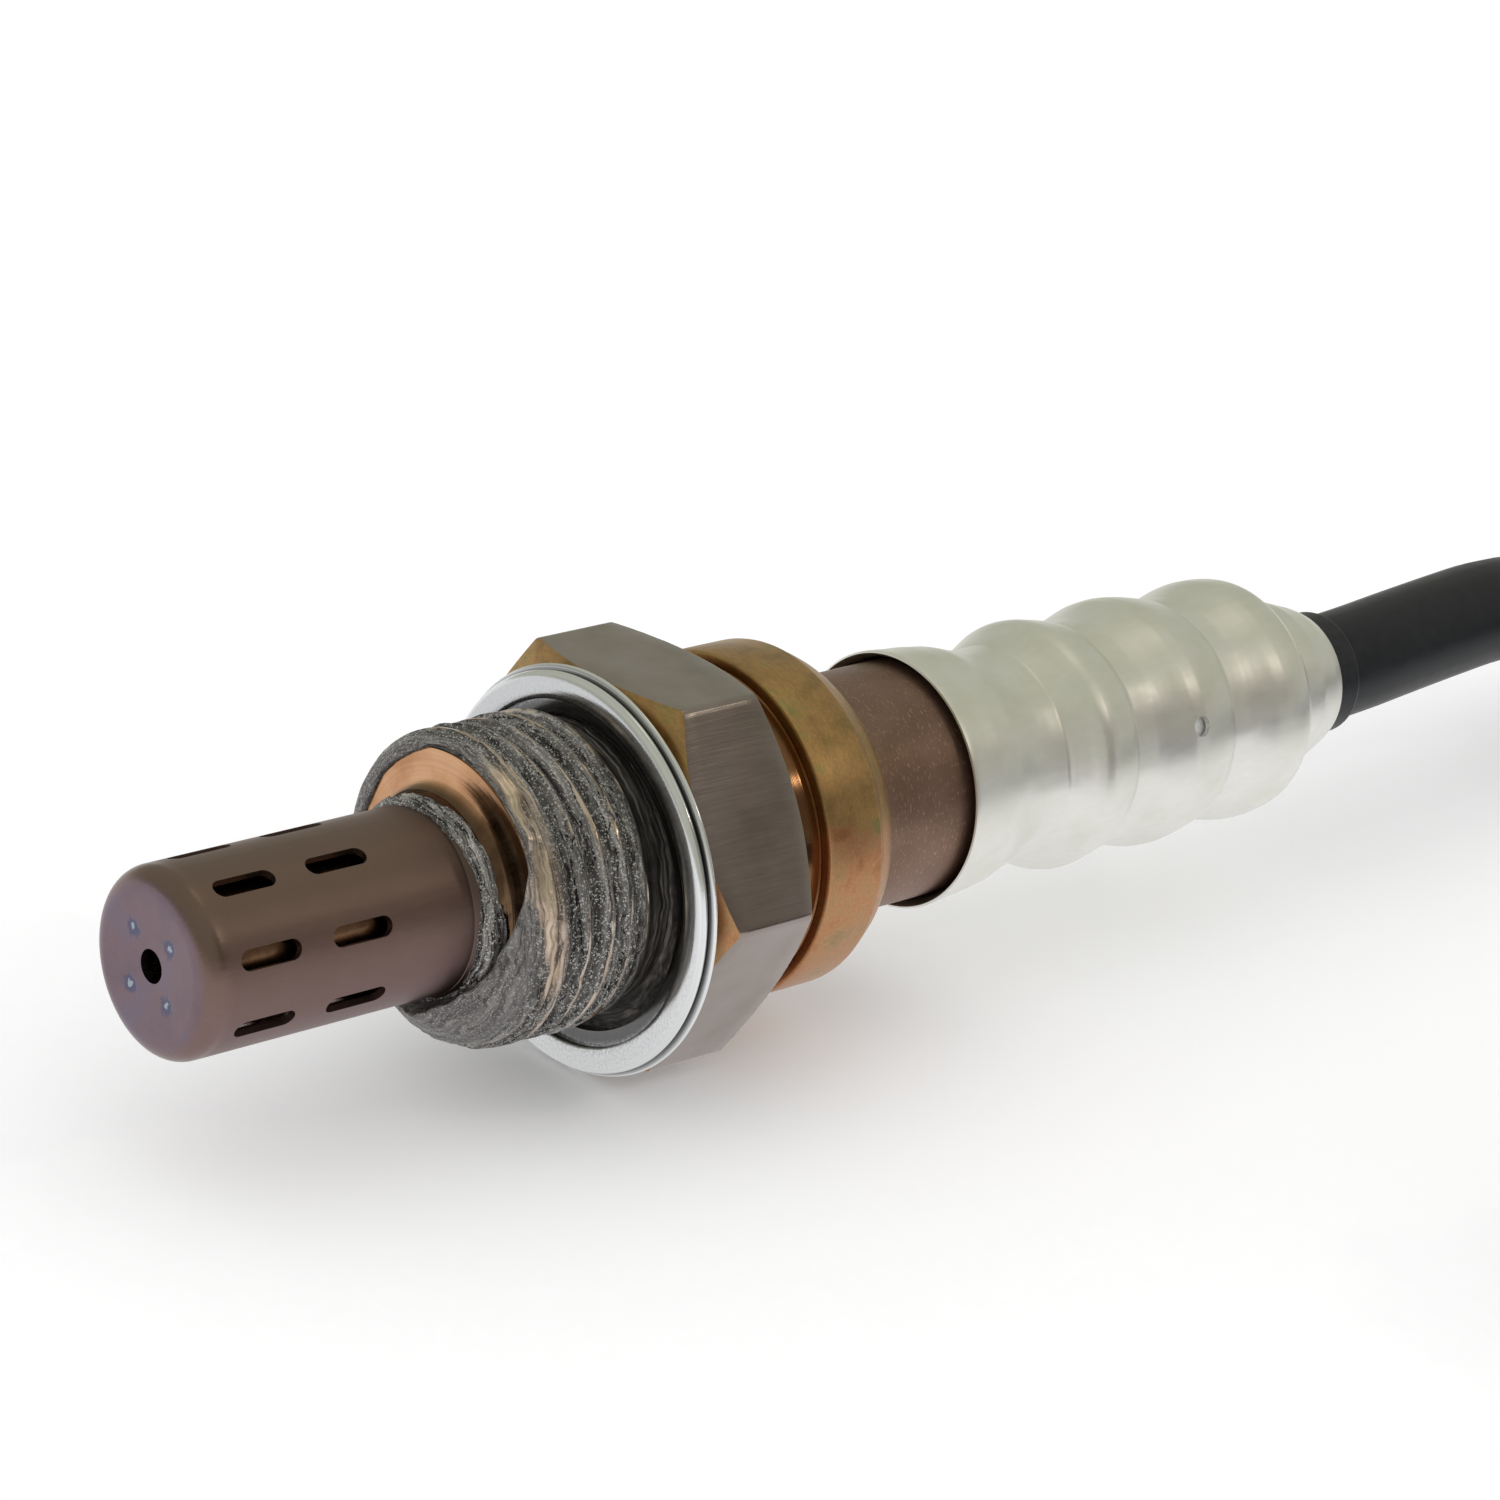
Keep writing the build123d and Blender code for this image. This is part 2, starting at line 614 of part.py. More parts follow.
# ---- Outer cover: a drawn shell crimped in three places by an eight-jaw tool
with BuildPart() as outer_cover:
    revolve(cover_area(0), axis=spine)
    for crimp_station, crimp_radius in zip((crimp_1, crimp_2, crimp_3), cover_crimp_radii):
        ridge_centre = crimp_radius + crimp_ridge_height - crimp_ridge_radius
        with BuildSketch(across(crimp_station - crimp_ridge_length / 2)):
            with PolarLocations(ridge_centre, crimp_jaws, start_angle=180 / crimp_jaws):
                Circle(crimp_ridge_radius)
        extrude(amount=crimp_ridge_length)
    revolve(cover_area(cover_wall), axis=spine, mode=Mode.SUBTRACT)
    for vent in range(cover_vents):
        vent_angle = cover_vent_angle + vent * 360 / cover_vents
        with BuildSketch(facing(vent_angle, vent_station, cover_crown_radii[1])):
            Circle(cover_vent_radius)
        extrude(amount=-2 * cover_wall, mode=Mode.SUBTRACT)
save(outer_cover.part, "outer_cover")

# ---- Lead: its route as points from the tip's face, the axis and the axis height
coil_lift = tie_thickness
coil_level = coil_lift + lead_radius
upper_level = coil_level + lead_diameter + coil_layer_gap
route_drop = coil_level - axis_height
lead_route = [
    (0.3, 0.0, 0.0), (5.8, 0.0, 0.0), (15.5, 1.3, 0.05), (28.0, 2.8, 0.0), (40.0, 3.6, -3.8),
    (52.0, 3.95, -7.9), (64.8, 4.0, route_drop), (78.5, 4.0, route_drop)]
plug_drop = plug_height / 2 - upper_level
tail_route = [
    (0.0, 0.0, 0.0), (-11.5, 0.0, 0.0), (-23.5, 1.9, 0.1), (-35.0, 4.9, -1.3),
    (-45.5, 6.4, plug_drop), (-55.0, 6.4, plug_drop)]


def bend_radii(points):
    """Largest arcs that the runs allow: 0.45 of the shorter run over the tangent of half the turn."""
    radii = []
    for before, corner, after in zip(points, points[1:], points[2:]):
        run_in = Vector(*corner) - Vector(*before)
        run_out = Vector(*after) - Vector(*corner)
        half_turn = radians(run_in.get_angle(run_out)) / 2
        radii.append(0.45 * min(run_in.length, run_out.length) / tan(half_turn))
    return radii


def lead_tube(points):
    """Round tube along straight runs joined by tangent arcs."""
    radii = bend_radii(points)
    with BuildPart(mode=Mode.PRIVATE) as tube:
        with BuildLine() as path:
            FilletPolyline(*points, radius=radii)
        start = path.line @ 0
        with BuildSketch(Plane(origin=start, z_dir=path.line % 0)):
            Circle(lead_radius)
        sweep(path=path.line)
    length = path.wires()[0].length
    section_area = pi * lead_radius ** 2
    print("bend radii", [round(radius, 1) for radius in radii], "length", round(length, 1))
    print("volume", round(tube.part.volume, 1), "section times length", round(section_area * length, 1))
    return tube.part


lead_start = Vector(tip_x + jacket_front, 0, axis_height)
lead_points = [lead_start + Vector(*point) for point in lead_route]
coil_entry = lead_points[-1]
entry_x = coil_turn_radius * cos(radians(coil_entry_angle))
entry_y = coil_turn_radius * sin(radians(coil_entry_angle))
coil_centre = coil_entry - Vector(entry_x, entry_y, coil_level)

with BuildPart() as cable:
    add(lead_tube([tuple(point) for point in lead_points]))
save(cable.part, "cable")


def turn_of_coil(level, start_angle, sweep_angle):
    """Part of a turn as a solid of rounded section, clockwise from an angle."""
    outwards = Vector(cos(radians(start_angle)), sin(radians(start_angle)), 0)
    section_plane = Plane(
        origin=coil_centre + Vector(0, 0, level), x_dir=outwards,
        z_dir=(-outwards.Y, outwards.X, 0))
    with BuildPart(mode=Mode.PRIVATE) as turn:
        with BuildSketch(section_plane):
            with Locations((coil_turn_radius, 0)):
                RectangleRounded(
                    lead_diameter, lead_diameter + coil_layer_gap / 2, lead_radius * 0.6)
        revolve(axis=Axis(coil_centre, (0, 0, -1)), revolution_arc=sweep_angle)
    return turn.part


# ---- Coil: one and a half turns; the upper half turn starts where the lower turn has climbed
with BuildPart() as cable_coil:
    lower_middle = coil_level + coil_layer_gap / 4
    upper_middle = upper_level - coil_layer_gap / 4
    climb_start = coil_entry_angle + coil_cross_angle + coil_rise_angle
    add(turn_of_coil(lower_middle, coil_entry_angle, 360 - coil_cross_angle))
    add(turn_of_coil(upper_middle, climb_start, climb_start - coil_exit_angle))
save(cable_coil.part, "cable_coil")

# ---- Tie: a flat band round both layers of the coil
with BuildPart() as coil_tie:
    tie_bore = lead_diameter + 4 * slip
    tie_height = upper_level + lead_radius + tie_thickness
    with BuildSketch(Plane(
            origin=coil_centre + Vector(coil_turn_radius, tie_width / 2, tie_height / 2),
            x_dir=(1, 0, 0), z_dir=(0, -1, 0))):
        RectangleRounded(
            tie_bore + 2 * tie_thickness, tie_height, lead_radius * 0.6 + tie_thickness)
        RectangleRounded(
            tie_bore, tie_height - 2 * tie_thickness, lead_radius * 0.6,
            mode=Mode.SUBTRACT)
    extrude(amount=tie_width)
    with BuildSketch(Plane(origin=coil_centre + Vector(coil_turn_radius, 0, tie_height - snug))):
        Rectangle(tie_head_length, tie_width)
    extrude(amount=tie_head_height)
    chamfer(coil_tie.edges().group_by(Axis.Z)[-1], tie_thickness)
save(coil_tie.part, "coil_tie")

# ---- Tail of the lead, from the coil's upper turn to the plug's boot
exit_x = coil_turn_radius * cos(radians(coil_exit_angle))
exit_y = coil_turn_radius * sin(radians(coil_exit_angle))
tail_start_point = coil_centre + Vector(exit_x, exit_y, upper_level)
tail_points = [tail_start_point + Vector(*point) for point in tail_route]
with BuildPart() as cable_tail:
    add(lead_tube([tuple(point) for point in tail_points]))
save(cable_tail.part, "cable_tail")

# ---- Plug: stations run from the boot's rear face, along -X
plug_axis = tail_points[-1]
plug_front = boot_length + plug_length


def plug_plane(distance):
    """Plane square to the plug, at a distance from the boot's rear, with its y up."""
    middle = plug_axis - Vector(distance, 0, 0)
    return Plane(origin=middle, x_dir=(0, 1, 0), z_dir=(1, 0, 0))


# ---- Boot: a tapered rubber strain relief with three ribs
with BuildPart() as connector_boot:
    with BuildSketch(plug_plane(0)):
        Circle(boot_rear_radius)
    with BuildSketch(plug_plane(boot_length)):
        Circle(boot_front_radius)
    loft()
    boot_taper = (boot_front_radius - boot_rear_radius) / boot_length
    for rib in range(1, boot_ribs + 1):
        rib_station = rib * boot_length / (boot_ribs + 1)
        with BuildSketch(plug_plane(rib_station + boot_rib_width / 2)):
            Circle(boot_rear_radius + boot_taper * rib_station + boot_rib_width / 2)
        extrude(amount=boot_rib_width)
save(connector_boot.part, "connector_boot")

# ---- Housing: body between two flanges, nose with four cavities, and the latch on top
pin_front = plug_front + plug_nose_length - retainer_thickness
with BuildPart() as connector_housing:
    with BuildSketch(plug_plane(plug_front)):
        RectangleRounded(
            plug_width - 2 * plug_flange_margin, plug_height - 2 * plug_flange_margin, plug_corner)
    extrude(amount=plug_length)
    for flange_station in (boot_length + plug_flange_length, plug_front):
        with BuildSketch(plug_plane(flange_station)):
            RectangleRounded(plug_width, plug_height, plug_corner)
        extrude(amount=plug_flange_length)
    with BuildSketch(plug_plane(pin_front)):
        RectangleRounded(plug_nose_width, plug_nose_height, plug_corner)
    extrude(amount=plug_nose_length)
    with BuildSketch(plug_plane(pin_front)):
        with GridLocations(pin_pitch, pin_pitch, 2, 2):
            Rectangle(pin_size + 2 * snug, pin_size + 2 * snug)
    extrude(amount=pin_length, mode=Mode.SUBTRACT)
    latch_plane = Plane(
        origin=plug_axis + Vector(-boot_length, latch_width / 2, plug_height / 2),
        x_dir=(-1, 0, 0), z_dir=(0, 1, 0))
    with BuildSketch(latch_plane):
        with BuildLine():
            latch_top = latch_gap + latch_thickness
            latch_foot = plug_flange_length + latch_foot_length
            latch_base = -plug_flange_margin - snug
            Polyline(
                (plug_flange_length, latch_base), (plug_flange_length, latch_top - latch_thickness / 2),
                (plug_flange_length + latch_thickness / 2, latch_top),
                (latch_length, latch_top), (latch_length, latch_gap - latch_hook_height),
                (latch_length - latch_hook_height, latch_gap - latch_hook_height),
                (latch_length - 2 * latch_hook_height, latch_gap), (latch_foot, latch_gap),
                (latch_foot, latch_base), close=True)
        make_face()
    extrude(amount=-latch_width)
save(connector_housing.part, "connector_housing")

# ---- Four socket terminals in the housing's cavities
with BuildPart() as terminal_shape:
    with BuildSketch(plug_plane(pin_front)):
        Rectangle(pin_size, pin_size)
    extrude(amount=pin_length)
    with BuildSketch(plug_plane(pin_front)):
        Circle(pin_bore_radius)
    extrude(amount=pin_bore_depth, mode=Mode.SUBTRACT)
pin_places = [(0.5, 0.5), (-0.5, 0.5), (-0.5, -0.5), (0.5, -0.5)]
for number, (pin_y, pin_z) in enumerate(pin_places, start=1):
    with BuildPart() as terminal:
        with Locations((0, pin_y * pin_pitch, pin_z * pin_pitch)):
            add(terminal_shape.part)
    save(terminal.part, "terminal_" + str(number))

# ---- Retainer: a plate on the nose that keeps the terminals in
with BuildPart() as terminal_retainer:
    with BuildSketch(plug_plane(pin_front + retainer_thickness)):
        RectangleRounded(
            plug_nose_width - 2 * retainer_margin, plug_nose_height - 2 * retainer_margin,
            plug_corner - retainer_margin)
        with GridLocations(pin_pitch, pin_pitch, 2, 2):
            Rectangle(pin_size * 0.7, pin_size * 0.7, mode=Mode.SUBTRACT)
    extrude(amount=retainer_thickness)
save(terminal_retainer.part, "terminal_retainer")

# ---- Seal round the nose, against the front flange
with BuildPart() as connector_seal:
    with BuildSketch(plug_plane(plug_front + seal_width)):
        RectangleRounded(
            plug_nose_width + 2 * seal_thickness, plug_nose_height + 2 * seal_thickness,
            plug_corner + seal_thickness)
        RectangleRounded(
            plug_nose_width + snug, plug_nose_height + snug, plug_corner, mode=Mode.SUBTRACT)
    extrude(amount=seal_width)
save(connector_seal.part, "connector_seal")
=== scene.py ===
# %% [markdown]
# # A heated oxygen sensor
# The sensor screws into an exhaust pipe. A slotted steel tube guards the sensing tip, a threaded
# hexagon holds it in the pipe, and a crimped cover leads the wires out to a black lead.
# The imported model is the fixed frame: it says where every piece is. The looks are built round it.

import math

import bmesh
import bpy
import numpy as np
from mathutils import Matrix, Vector


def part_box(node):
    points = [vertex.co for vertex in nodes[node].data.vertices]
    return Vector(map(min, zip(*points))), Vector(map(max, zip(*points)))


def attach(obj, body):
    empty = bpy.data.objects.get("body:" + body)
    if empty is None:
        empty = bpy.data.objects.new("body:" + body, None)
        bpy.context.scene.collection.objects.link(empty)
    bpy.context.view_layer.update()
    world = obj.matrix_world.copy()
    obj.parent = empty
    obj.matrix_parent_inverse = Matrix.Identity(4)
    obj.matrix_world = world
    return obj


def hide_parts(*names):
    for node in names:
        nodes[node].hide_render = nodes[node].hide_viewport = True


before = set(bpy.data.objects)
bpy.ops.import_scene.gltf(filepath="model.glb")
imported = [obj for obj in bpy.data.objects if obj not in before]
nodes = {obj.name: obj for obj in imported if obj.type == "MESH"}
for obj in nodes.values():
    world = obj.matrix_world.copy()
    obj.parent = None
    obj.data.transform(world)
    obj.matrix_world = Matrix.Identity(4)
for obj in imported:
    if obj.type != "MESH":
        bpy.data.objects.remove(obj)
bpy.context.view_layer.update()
MM = 0.001
print("packed pieces:", len(nodes))

# %% [markdown]
# Everything on the sensor is turned or drawn round one axis. So places are given as a station, the
# distance from the tip's face along the axis, a radius, and an angle from straight up towards +Y.

# %% The sensor's axis, read from the frame
TUBE_REAR = 20.85
tube_low, tube_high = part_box("outer_protection_tube")
TIP_X = tube_high.x - TUBE_REAR * MM
AXIS_Z = (tube_low.z + tube_high.z) / 2
print("tip at", round(TIP_X / MM, 3), "mm, axis height", round(AXIS_Z / MM, 3), "mm")


def around(station, radius, angle, shift=(0, 0)):
    """Points in metres: x is the tip plus the station, y radius times sine, z radius times cosine."""
    station, radius, angle = np.broadcast_arrays(station, radius, angle)
    y = (radius * np.sin(angle) + shift[0]) * MM
    z = (radius * np.cos(angle) + shift[1]) * MM + AXIS_Z
    return np.stack([TIP_X + station * MM, y, z], axis=-1)


def full_turn(count, start=0.0):
    """Evenly spaced angles round the axis, as one row. The last stops one step before the first."""
    return np.linspace(start, start + 2 * np.pi, count, endpoint=False).reshape(1, -1)


# %% [markdown]
# A surface is worked out as a grid of points, and every four neighbours make a face. The grid can
# close on itself in one direction, as a turned piece does, or in both, as a ring with a wall does.

# %% Helpers: a mesh from a grid of points
def link_object(name, data):
    """A new object that shows the data, linked to the scene."""
    item = bpy.data.objects.new(name, data)
    bpy.context.scene.collection.objects.link(item)
    return item


def grid_object(name, points, close_rows=False, materials=(), face_finish=None, sharp=30):
    """Face i, j joins rows i, i+1 and columns j, j+1. Columns always close, the last on the first."""
    rows, columns = points.shape[:2]
    row = np.arange(rows if close_rows else rows - 1)
    i, j = np.meshgrid(row, np.arange(columns), indexing="ij")
    i_next = (i + 1) % rows
    j_next = (j + 1) % columns
    corners = [i * columns + j, i_next * columns + j, i_next * columns + j_next, i * columns + j_next]
    quads = np.stack(corners, axis=-1).reshape(-1, 4)
    mesh = bpy.data.meshes.new(name)
    mesh.vertices.add(rows * columns)
    mesh.vertices.foreach_set("co", points.reshape(-1).astype(np.float32))
    mesh.loops.add(quads.size)
    mesh.loops.foreach_set("vertex_index", quads.reshape(-1).astype(np.int32))
    mesh.polygons.add(len(quads))
    mesh.polygons.foreach_set("loop_start", (np.arange(len(quads)) * 4).astype(np.int32))
    for material in materials:
        mesh.materials.append(material)
    if face_finish is not None:
        mesh.polygons.foreach_set("material_index", face_finish.reshape(-1).astype(np.int32))
    mesh.update(calc_edges=True)
    mesh.shade_smooth()
    mesh.set_sharp_from_angle(angle=math.radians(sharp))
    print(name, "has", len(quads), "faces")
    return link_object(name, mesh)


# %% [markdown]
# Stains and smeared paste need noise that is the same on each run. Random values sit on a coarse
# lattice from a fixed seed, and a smooth curve blends them between the lattice's points.

# %% Helpers: smooth noise on a grid
def eased(share):
    """A share from 0 to 1 with soft ends, 3t^2 - 2t^3."""
    return share * share * (3 - 2 * share)


def smooth_noise(u, v, cells_u, cells_v, seed):
    """Lattice values from -1 to 1, blended. u and v run from 0 to 1, and v wraps."""
    lattice = np.random.default_rng(seed).uniform(-1, 1, (cells_u + 2, cells_v))
    x = np.clip(u, 0, 1) * cells_u
    y = (v % 1.0) * cells_v
    x0 = np.floor(x).astype(int)
    y0 = np.floor(y).astype(int)
    fx = eased(x - x0)
    fy = eased(y - y0)
    y1 = (y0 + 1) % cells_v
    y0 = y0 % cells_v
    near = lattice[x0, y0] * (1 - fy) + lattice[x0, y1] * fy
    far = lattice[x0 + 1, y0] * (1 - fy) + lattice[x0 + 1, y1] * fy
    return near * (1 - fx) + far * fx


def layered_noise(u, v, *layers):
    """Layers of smooth noise added up, each given as its height, its two cell counts and its seed."""
    return sum(height * smooth_noise(u, v, *layer) for height, *layer in layers)


# %% [markdown]
# ## The lead
# The lead is black tubing, 7 mm thick, over four wires. It leaves the grommet with a slight lean,
# comes down to the table, and is put away in one and a half turns held by a tie. A smooth spline
# through listed points lies like real tubing, where arcs and straight runs look like bent wire.
# The route's first part goes from the grommet down to the table.

# %% The lead's way to the table
LEAD_DIAMETER = 6.9 * MM
JACKET_STATION = 85.8
COIL_RADIUS = 37.5 * MM
COIL_REACH = 1.004 * COIL_RADIUS
COIL_TURNS = 1.5
COIL_CLIMB_START = 258.0
COIL_CLIMB_END = 318.0
POINTS_PER_TURN = 24
coil_low, coil_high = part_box("cable_coil")
lower_level = coil_low.z + LEAD_DIAMETER / 2
upper_level = coil_high.z - LEAD_DIAMETER / 2
lead_start = Vector((TIP_X + JACKET_STATION * MM, 0, AXIS_Z))
drop = (lower_level - AXIS_Z) / MM
lead_route = [
    (0.0, 0.0, 0.0), (5.8, 0.0, 0.0), (15.5, 1.3, 0.05), (28.0, 2.8, 0.0), (40.0, 3.6, -3.8),
    (52.0, 3.95, -7.9), (64.8, 4.0, drop), (78.2, 4.0, drop)]
lead_points = [lead_start + Vector(point) * MM for point in lead_route]
print("points down to the table:", len(lead_points))

# %% [markdown]
# The coil lies flat on the table. Late in its first turn the lead climbs over itself, and the last
# half turn lies on top. Points at even angles, a little outside the circle, keep the spline on it.

# %% The lead's coil
coil_centre = (coil_low + coil_high) / 2
for step in range(1, int(POINTS_PER_TURN * COIL_TURNS)):
    turned = 360 * step / POINTS_PER_TURN
    climbed = min(max((turned - COIL_CLIMB_START) / (COIL_CLIMB_END - COIL_CLIMB_START), 0), 1)
    level = lower_level + (upper_level - lower_level) * eased(climbed)
    angle = math.radians(90 - turned)
    lead_points.append(Vector((
        coil_centre.x + COIL_REACH * math.cos(angle), coil_centre.y + COIL_REACH * math.sin(angle),
        level)))
print("points with the coil:", len(lead_points))

# %% [markdown]
# From the coil the lead's tail sags to the height of the connector's boot. Each point's radius is the
# tube's own, and the bevel is 1, so the curve's box fits the tube.

# %% The lead's tail and the finished lead
boot_low, boot_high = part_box("connector_boot")
tail_start = Vector((coil_centre.x, coil_centre.y - COIL_RADIUS, upper_level))
boot_level = (boot_low.z + boot_high.z) / 2
tail_drop = (boot_level - upper_level) / MM
tail_route = [
    (-11.5, 0.0, 0.0), (-23.5, 1.9, 0.1), (-35.0, 4.9, -1.3), (-45.5, 6.4, tail_drop),
    (-55.0, 6.4, tail_drop)]
lead_points += [tail_start + Vector(point) * MM for point in tail_route]
lead_curve = bpy.data.curves.new("lead", "CURVE")
lead_curve.dimensions = "3D"
lead_spline = lead_curve.splines.new("NURBS")
lead_spline.points.add(len(lead_points) - 1)
for place, point in zip(lead_spline.points, lead_points):
    place.co = (*point, 1)
    place.radius = LEAD_DIAMETER / 2
lead_spline.order_u = 3
lead_spline.use_endpoint_u = True
lead_spline.resolution_u = 8
lead_curve.bevel_depth = 1.0
lead_curve.bevel_resolution = 8
lead_curve.use_fill_caps = True
lead = link_object("lead", lead_curve)
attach(lead, "root")
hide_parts("cable", "cable_coil", "cable_tail")
print("the lead's route has", len(lead_points), "points")

# %% [markdown]
# ## Materials
# Colours are written as the eye sees them, in sRGB, and one function turns them to the linear values
# that Blender's light works in.

# %% Helper: colours
def linear(colour):
    """An sRGB hex colour as linear red, green, blue and a solid alpha."""
    srgb = np.array([int(colour[i:i + 2], 16) / 255 for i in (1, 3, 5)])
    line = np.where(srgb <= 0.04045, srgb / 12.92, ((srgb + 0.055) / 1.055) ** 2.4)
    return (*line.tolist(), 1.0)


# %% [markdown]
# Each finish is built from nodes, and one small function adds a node: plain values fill its inputs,
# and other nodes given as values are linked to them. A node that is given as a value feeds the first
# of its outputs that is in use.

# %% Helper: nodes
def add_node(material, kind, inputs=None, stops=None, **settings):
    """One node with its settings. Inputs are values, hex colours, nodes or sockets; stops a ramp's."""
    node = material.node_tree.nodes.new("ShaderNode" + kind)
    for name, value in settings.items():
        setattr(node, name, value)
    for key, value in (inputs or {}).items():
        if isinstance(value, bpy.types.Node):
            value = next(socket for socket in value.outputs if socket.enabled)
        if isinstance(value, bpy.types.NodeSocket):
            material.node_tree.links.new(value, node.inputs[key])
        else:
            node.inputs[key].default_value = linear(value) if isinstance(value, str) else value
    if stops:
        first, last = node.color_ramp.elements
        last.position, last.color = stops[-1][0], linear(stops[-1][1])
        first.position, first.color = stops[0][0], linear(stops[0][1])
        for position, colour in stops[1:-1]:
            node.color_ramp.elements.new(position).color = linear(colour)
    return node


# %% [markdown]
# Marks on real metal follow how it was made. So each finish starts from its place on the sensor in
# millimetres, and turned pieces also use the station, the radius and the angle round the axis. Noise
# that is scaled more one way than another is drawn out in streaks or in rings.

# %% Helpers: a finish, its place on the sensor, drawn-out noise and the surface
def new_material(name):
    """An empty node material, and its place on the sensor in mm: along, across and up from the axis."""
    material = bpy.data.materials.new(name)
    material.use_nodes = True
    material.node_tree.nodes.clear()
    coordinates = add_node(material, "TexCoord")
    place = add_node(material, "Mapping", {
        "Vector": coordinates.outputs["Object"], "Scale": (1 / MM, 1 / MM, 1 / MM),
        "Location": (-TIP_X / MM, 0, -AXIS_Z / MM)})
    return material, place


def turned_place(material, place):
    """Station, radius and angle as a vector: the radius is the length of across and up."""
    parts = add_node(material, "SeparateXYZ", {0: place})
    spoke = add_node(material, "CombineXYZ", {"Y": parts.outputs["Y"], "Z": parts.outputs["Z"]})
    radius = add_node(material, "VectorMath", {0: spoke}, operation="LENGTH")
    angle = add_node(
        material, "Math", {0: parts.outputs["Y"], 1: parts.outputs["Z"]}, operation="ARCTAN2")
    return add_node(material, "CombineXYZ", {"X": parts.outputs["X"], "Y": radius, "Z": angle})


def drawn_noise(material, vector, scales, detail):
    """Noise on a vector scaled by its directions, so patches are long where the scale is small."""
    drawn = add_node(material, "Mapping", {"Vector": vector, "Scale": scales})
    return add_node(material, "TexNoise", {"Vector": drawn, "Scale": 1.0, "Detail": detail})


def surface(material, **sockets):
    """The Principled shader joined to the output; names use _ for the space in a socket's name."""
    inputs = {name.replace("_", " "): value for name, value in sockets.items()}
    shader = add_node(material, "BsdfPrincipled", inputs)
    add_node(material, "OutputMaterial", {"Surface": shader})
    print(material.name, "has", len(material.node_tree.nodes), "nodes")
    return material


# %% [markdown]
# The hexagon's flats are drawn steel that exhaust heat has dulled to a satin grey-brown. The eye sees
# a soft sheen, fine marks along the bar, and a browner stain here and there.

# %% Finish: satin oxidised steel on the flats
flats_finish, place = new_material("oxidised_bar_steel")
marks = drawn_noise(flats_finish, place, (0.35, 7.0, 7.0), 5.0)
stain = add_node(flats_finish, "TexNoise", {"Vector": place, "Scale": 0.22, "Detail": 3.0})
pits = add_node(flats_finish, "TexNoise", {"Vector": place, "Scale": 9.0, "Detail": 2.0})
tone = add_node(
    flats_finish, "ValToRGB", {0: stain},
    stops=[(0.3, "#8e847c"), (0.5, "#9c918a"), (0.7, "#a29995")])
streaked = add_node(
    flats_finish, "Mix", {0: 0.12, 6: tone, 7: marks}, data_type="RGBA", blend_type="MULTIPLY")
sheen = add_node(flats_finish, "MapRange", {"Value": marks, "To Min": 0.2, "To Max": 0.28})
rough = add_node(flats_finish, "Math", {0: pits, 1: 0.5, 2: marks}, operation="MULTIPLY_ADD")
relief = add_node(flats_finish, "Bump", {"Height": rough, "Strength": 0.3, "Distance": 0.015 * MM})
surface(flats_finish, Base_Color=streaked, Metallic=1.0, Roughness=sheen, Normal=relief)

# %% [markdown]
# The rest of the shell is turned, and heat has tinted it: an olive bronze, with copper patches below
# a ragged tide line. Turning leaves rings, so the marks follow the station and the radius only. The
# groove behind the hexagon is painted a dark copper, as painted shade, and it is smoother, so it
# mirrors its own walls.

# %% Finish: heat-tinted turned steel
bronze_finish, place = new_material("heat_tinted_turned_steel")
turned = turned_place(bronze_finish, place)
rings = drawn_noise(bronze_finish, turned, (9.0, 9.0, 0.6), 4.0)
cloud = add_node(
    bronze_finish, "TexNoise", {"Vector": place, "Scale": 0.5, "Detail": 6.0, "Roughness": 0.62})
scratch_place = add_node(bronze_finish, "Mapping", {
    "Vector": place, "Scale": (3.0, 0.8, 3.0), "Rotation": (0.9, 0.3, 0.5)})
scratches = add_node(
    bronze_finish, "TexNoise", {"Vector": scratch_place, "Scale": 2.2, "Detail": 4.0})
upper_tint = add_node(
    bronze_finish, "ValToRGB", {0: cloud},
    stops=[(0.3, "#937b53"), (0.44, "#b08d5f"), (0.55, "#bd9764"), (0.68, "#a09562")])
lower_tint = add_node(
    bronze_finish, "ValToRGB", {0: cloud},
    stops=[(0.3, "#ad7a51"), (0.45, "#c59168"), (0.6, "#bd966c"), (0.72, "#a78f68")])
height = add_node(bronze_finish, "SeparateXYZ", {0: place}).outputs["Z"]
ragged = add_node(bronze_finish, "Math", {0: cloud, 1: 7.0, 2: height}, operation="MULTIPLY_ADD")
tide = add_node(bronze_finish, "MapRange", {
    "Value": ragged, "From Min": 5.9, "From Max": 6.6}, interpolation_type="SMOOTHSTEP")
tinted = add_node(bronze_finish, "Mix", {0: tide, 6: lower_tint, 7: upper_tint}, data_type="RGBA")
ringed = add_node(
    bronze_finish, "Mix", {0: 0.22, 6: tinted, 7: rings}, data_type="RGBA",
    blend_type="MULTIPLY")
worn = add_node(
    bronze_finish, "Mix", {0: 0.25, 6: ringed, 7: scratches}, data_type="RGBA",
    blend_type="OVERLAY")
parts = add_node(bronze_finish, "SeparateXYZ", {0: turned})
# Painted shade: the groove behind the hexagon, below radius 9.9, is darkened to a copper brown.
groove_shade = add_node(bronze_finish, "MapRange", {
    "Value": parts.outputs["Y"], "From Min": 9.9, "From Max": 9.6, "To Max": 0.85})
rearward = add_node(bronze_finish, "MapRange", {
    "Value": parts.outputs["X"], "From Min": 39.2, "From Max": 38.9})
groove_shade = add_node(bronze_finish, "Math", {0: groove_shade, 1: rearward}, operation="MULTIPLY")
groove_shaded_tone = add_node(bronze_finish, "Mix", {0: groove_shade, 6: worn, 7: "#77523a"}, data_type="RGBA")
sheen = add_node(bronze_finish, "MapRange", {"Value": cloud, "To Min": 0.34, "To Max": 0.48})
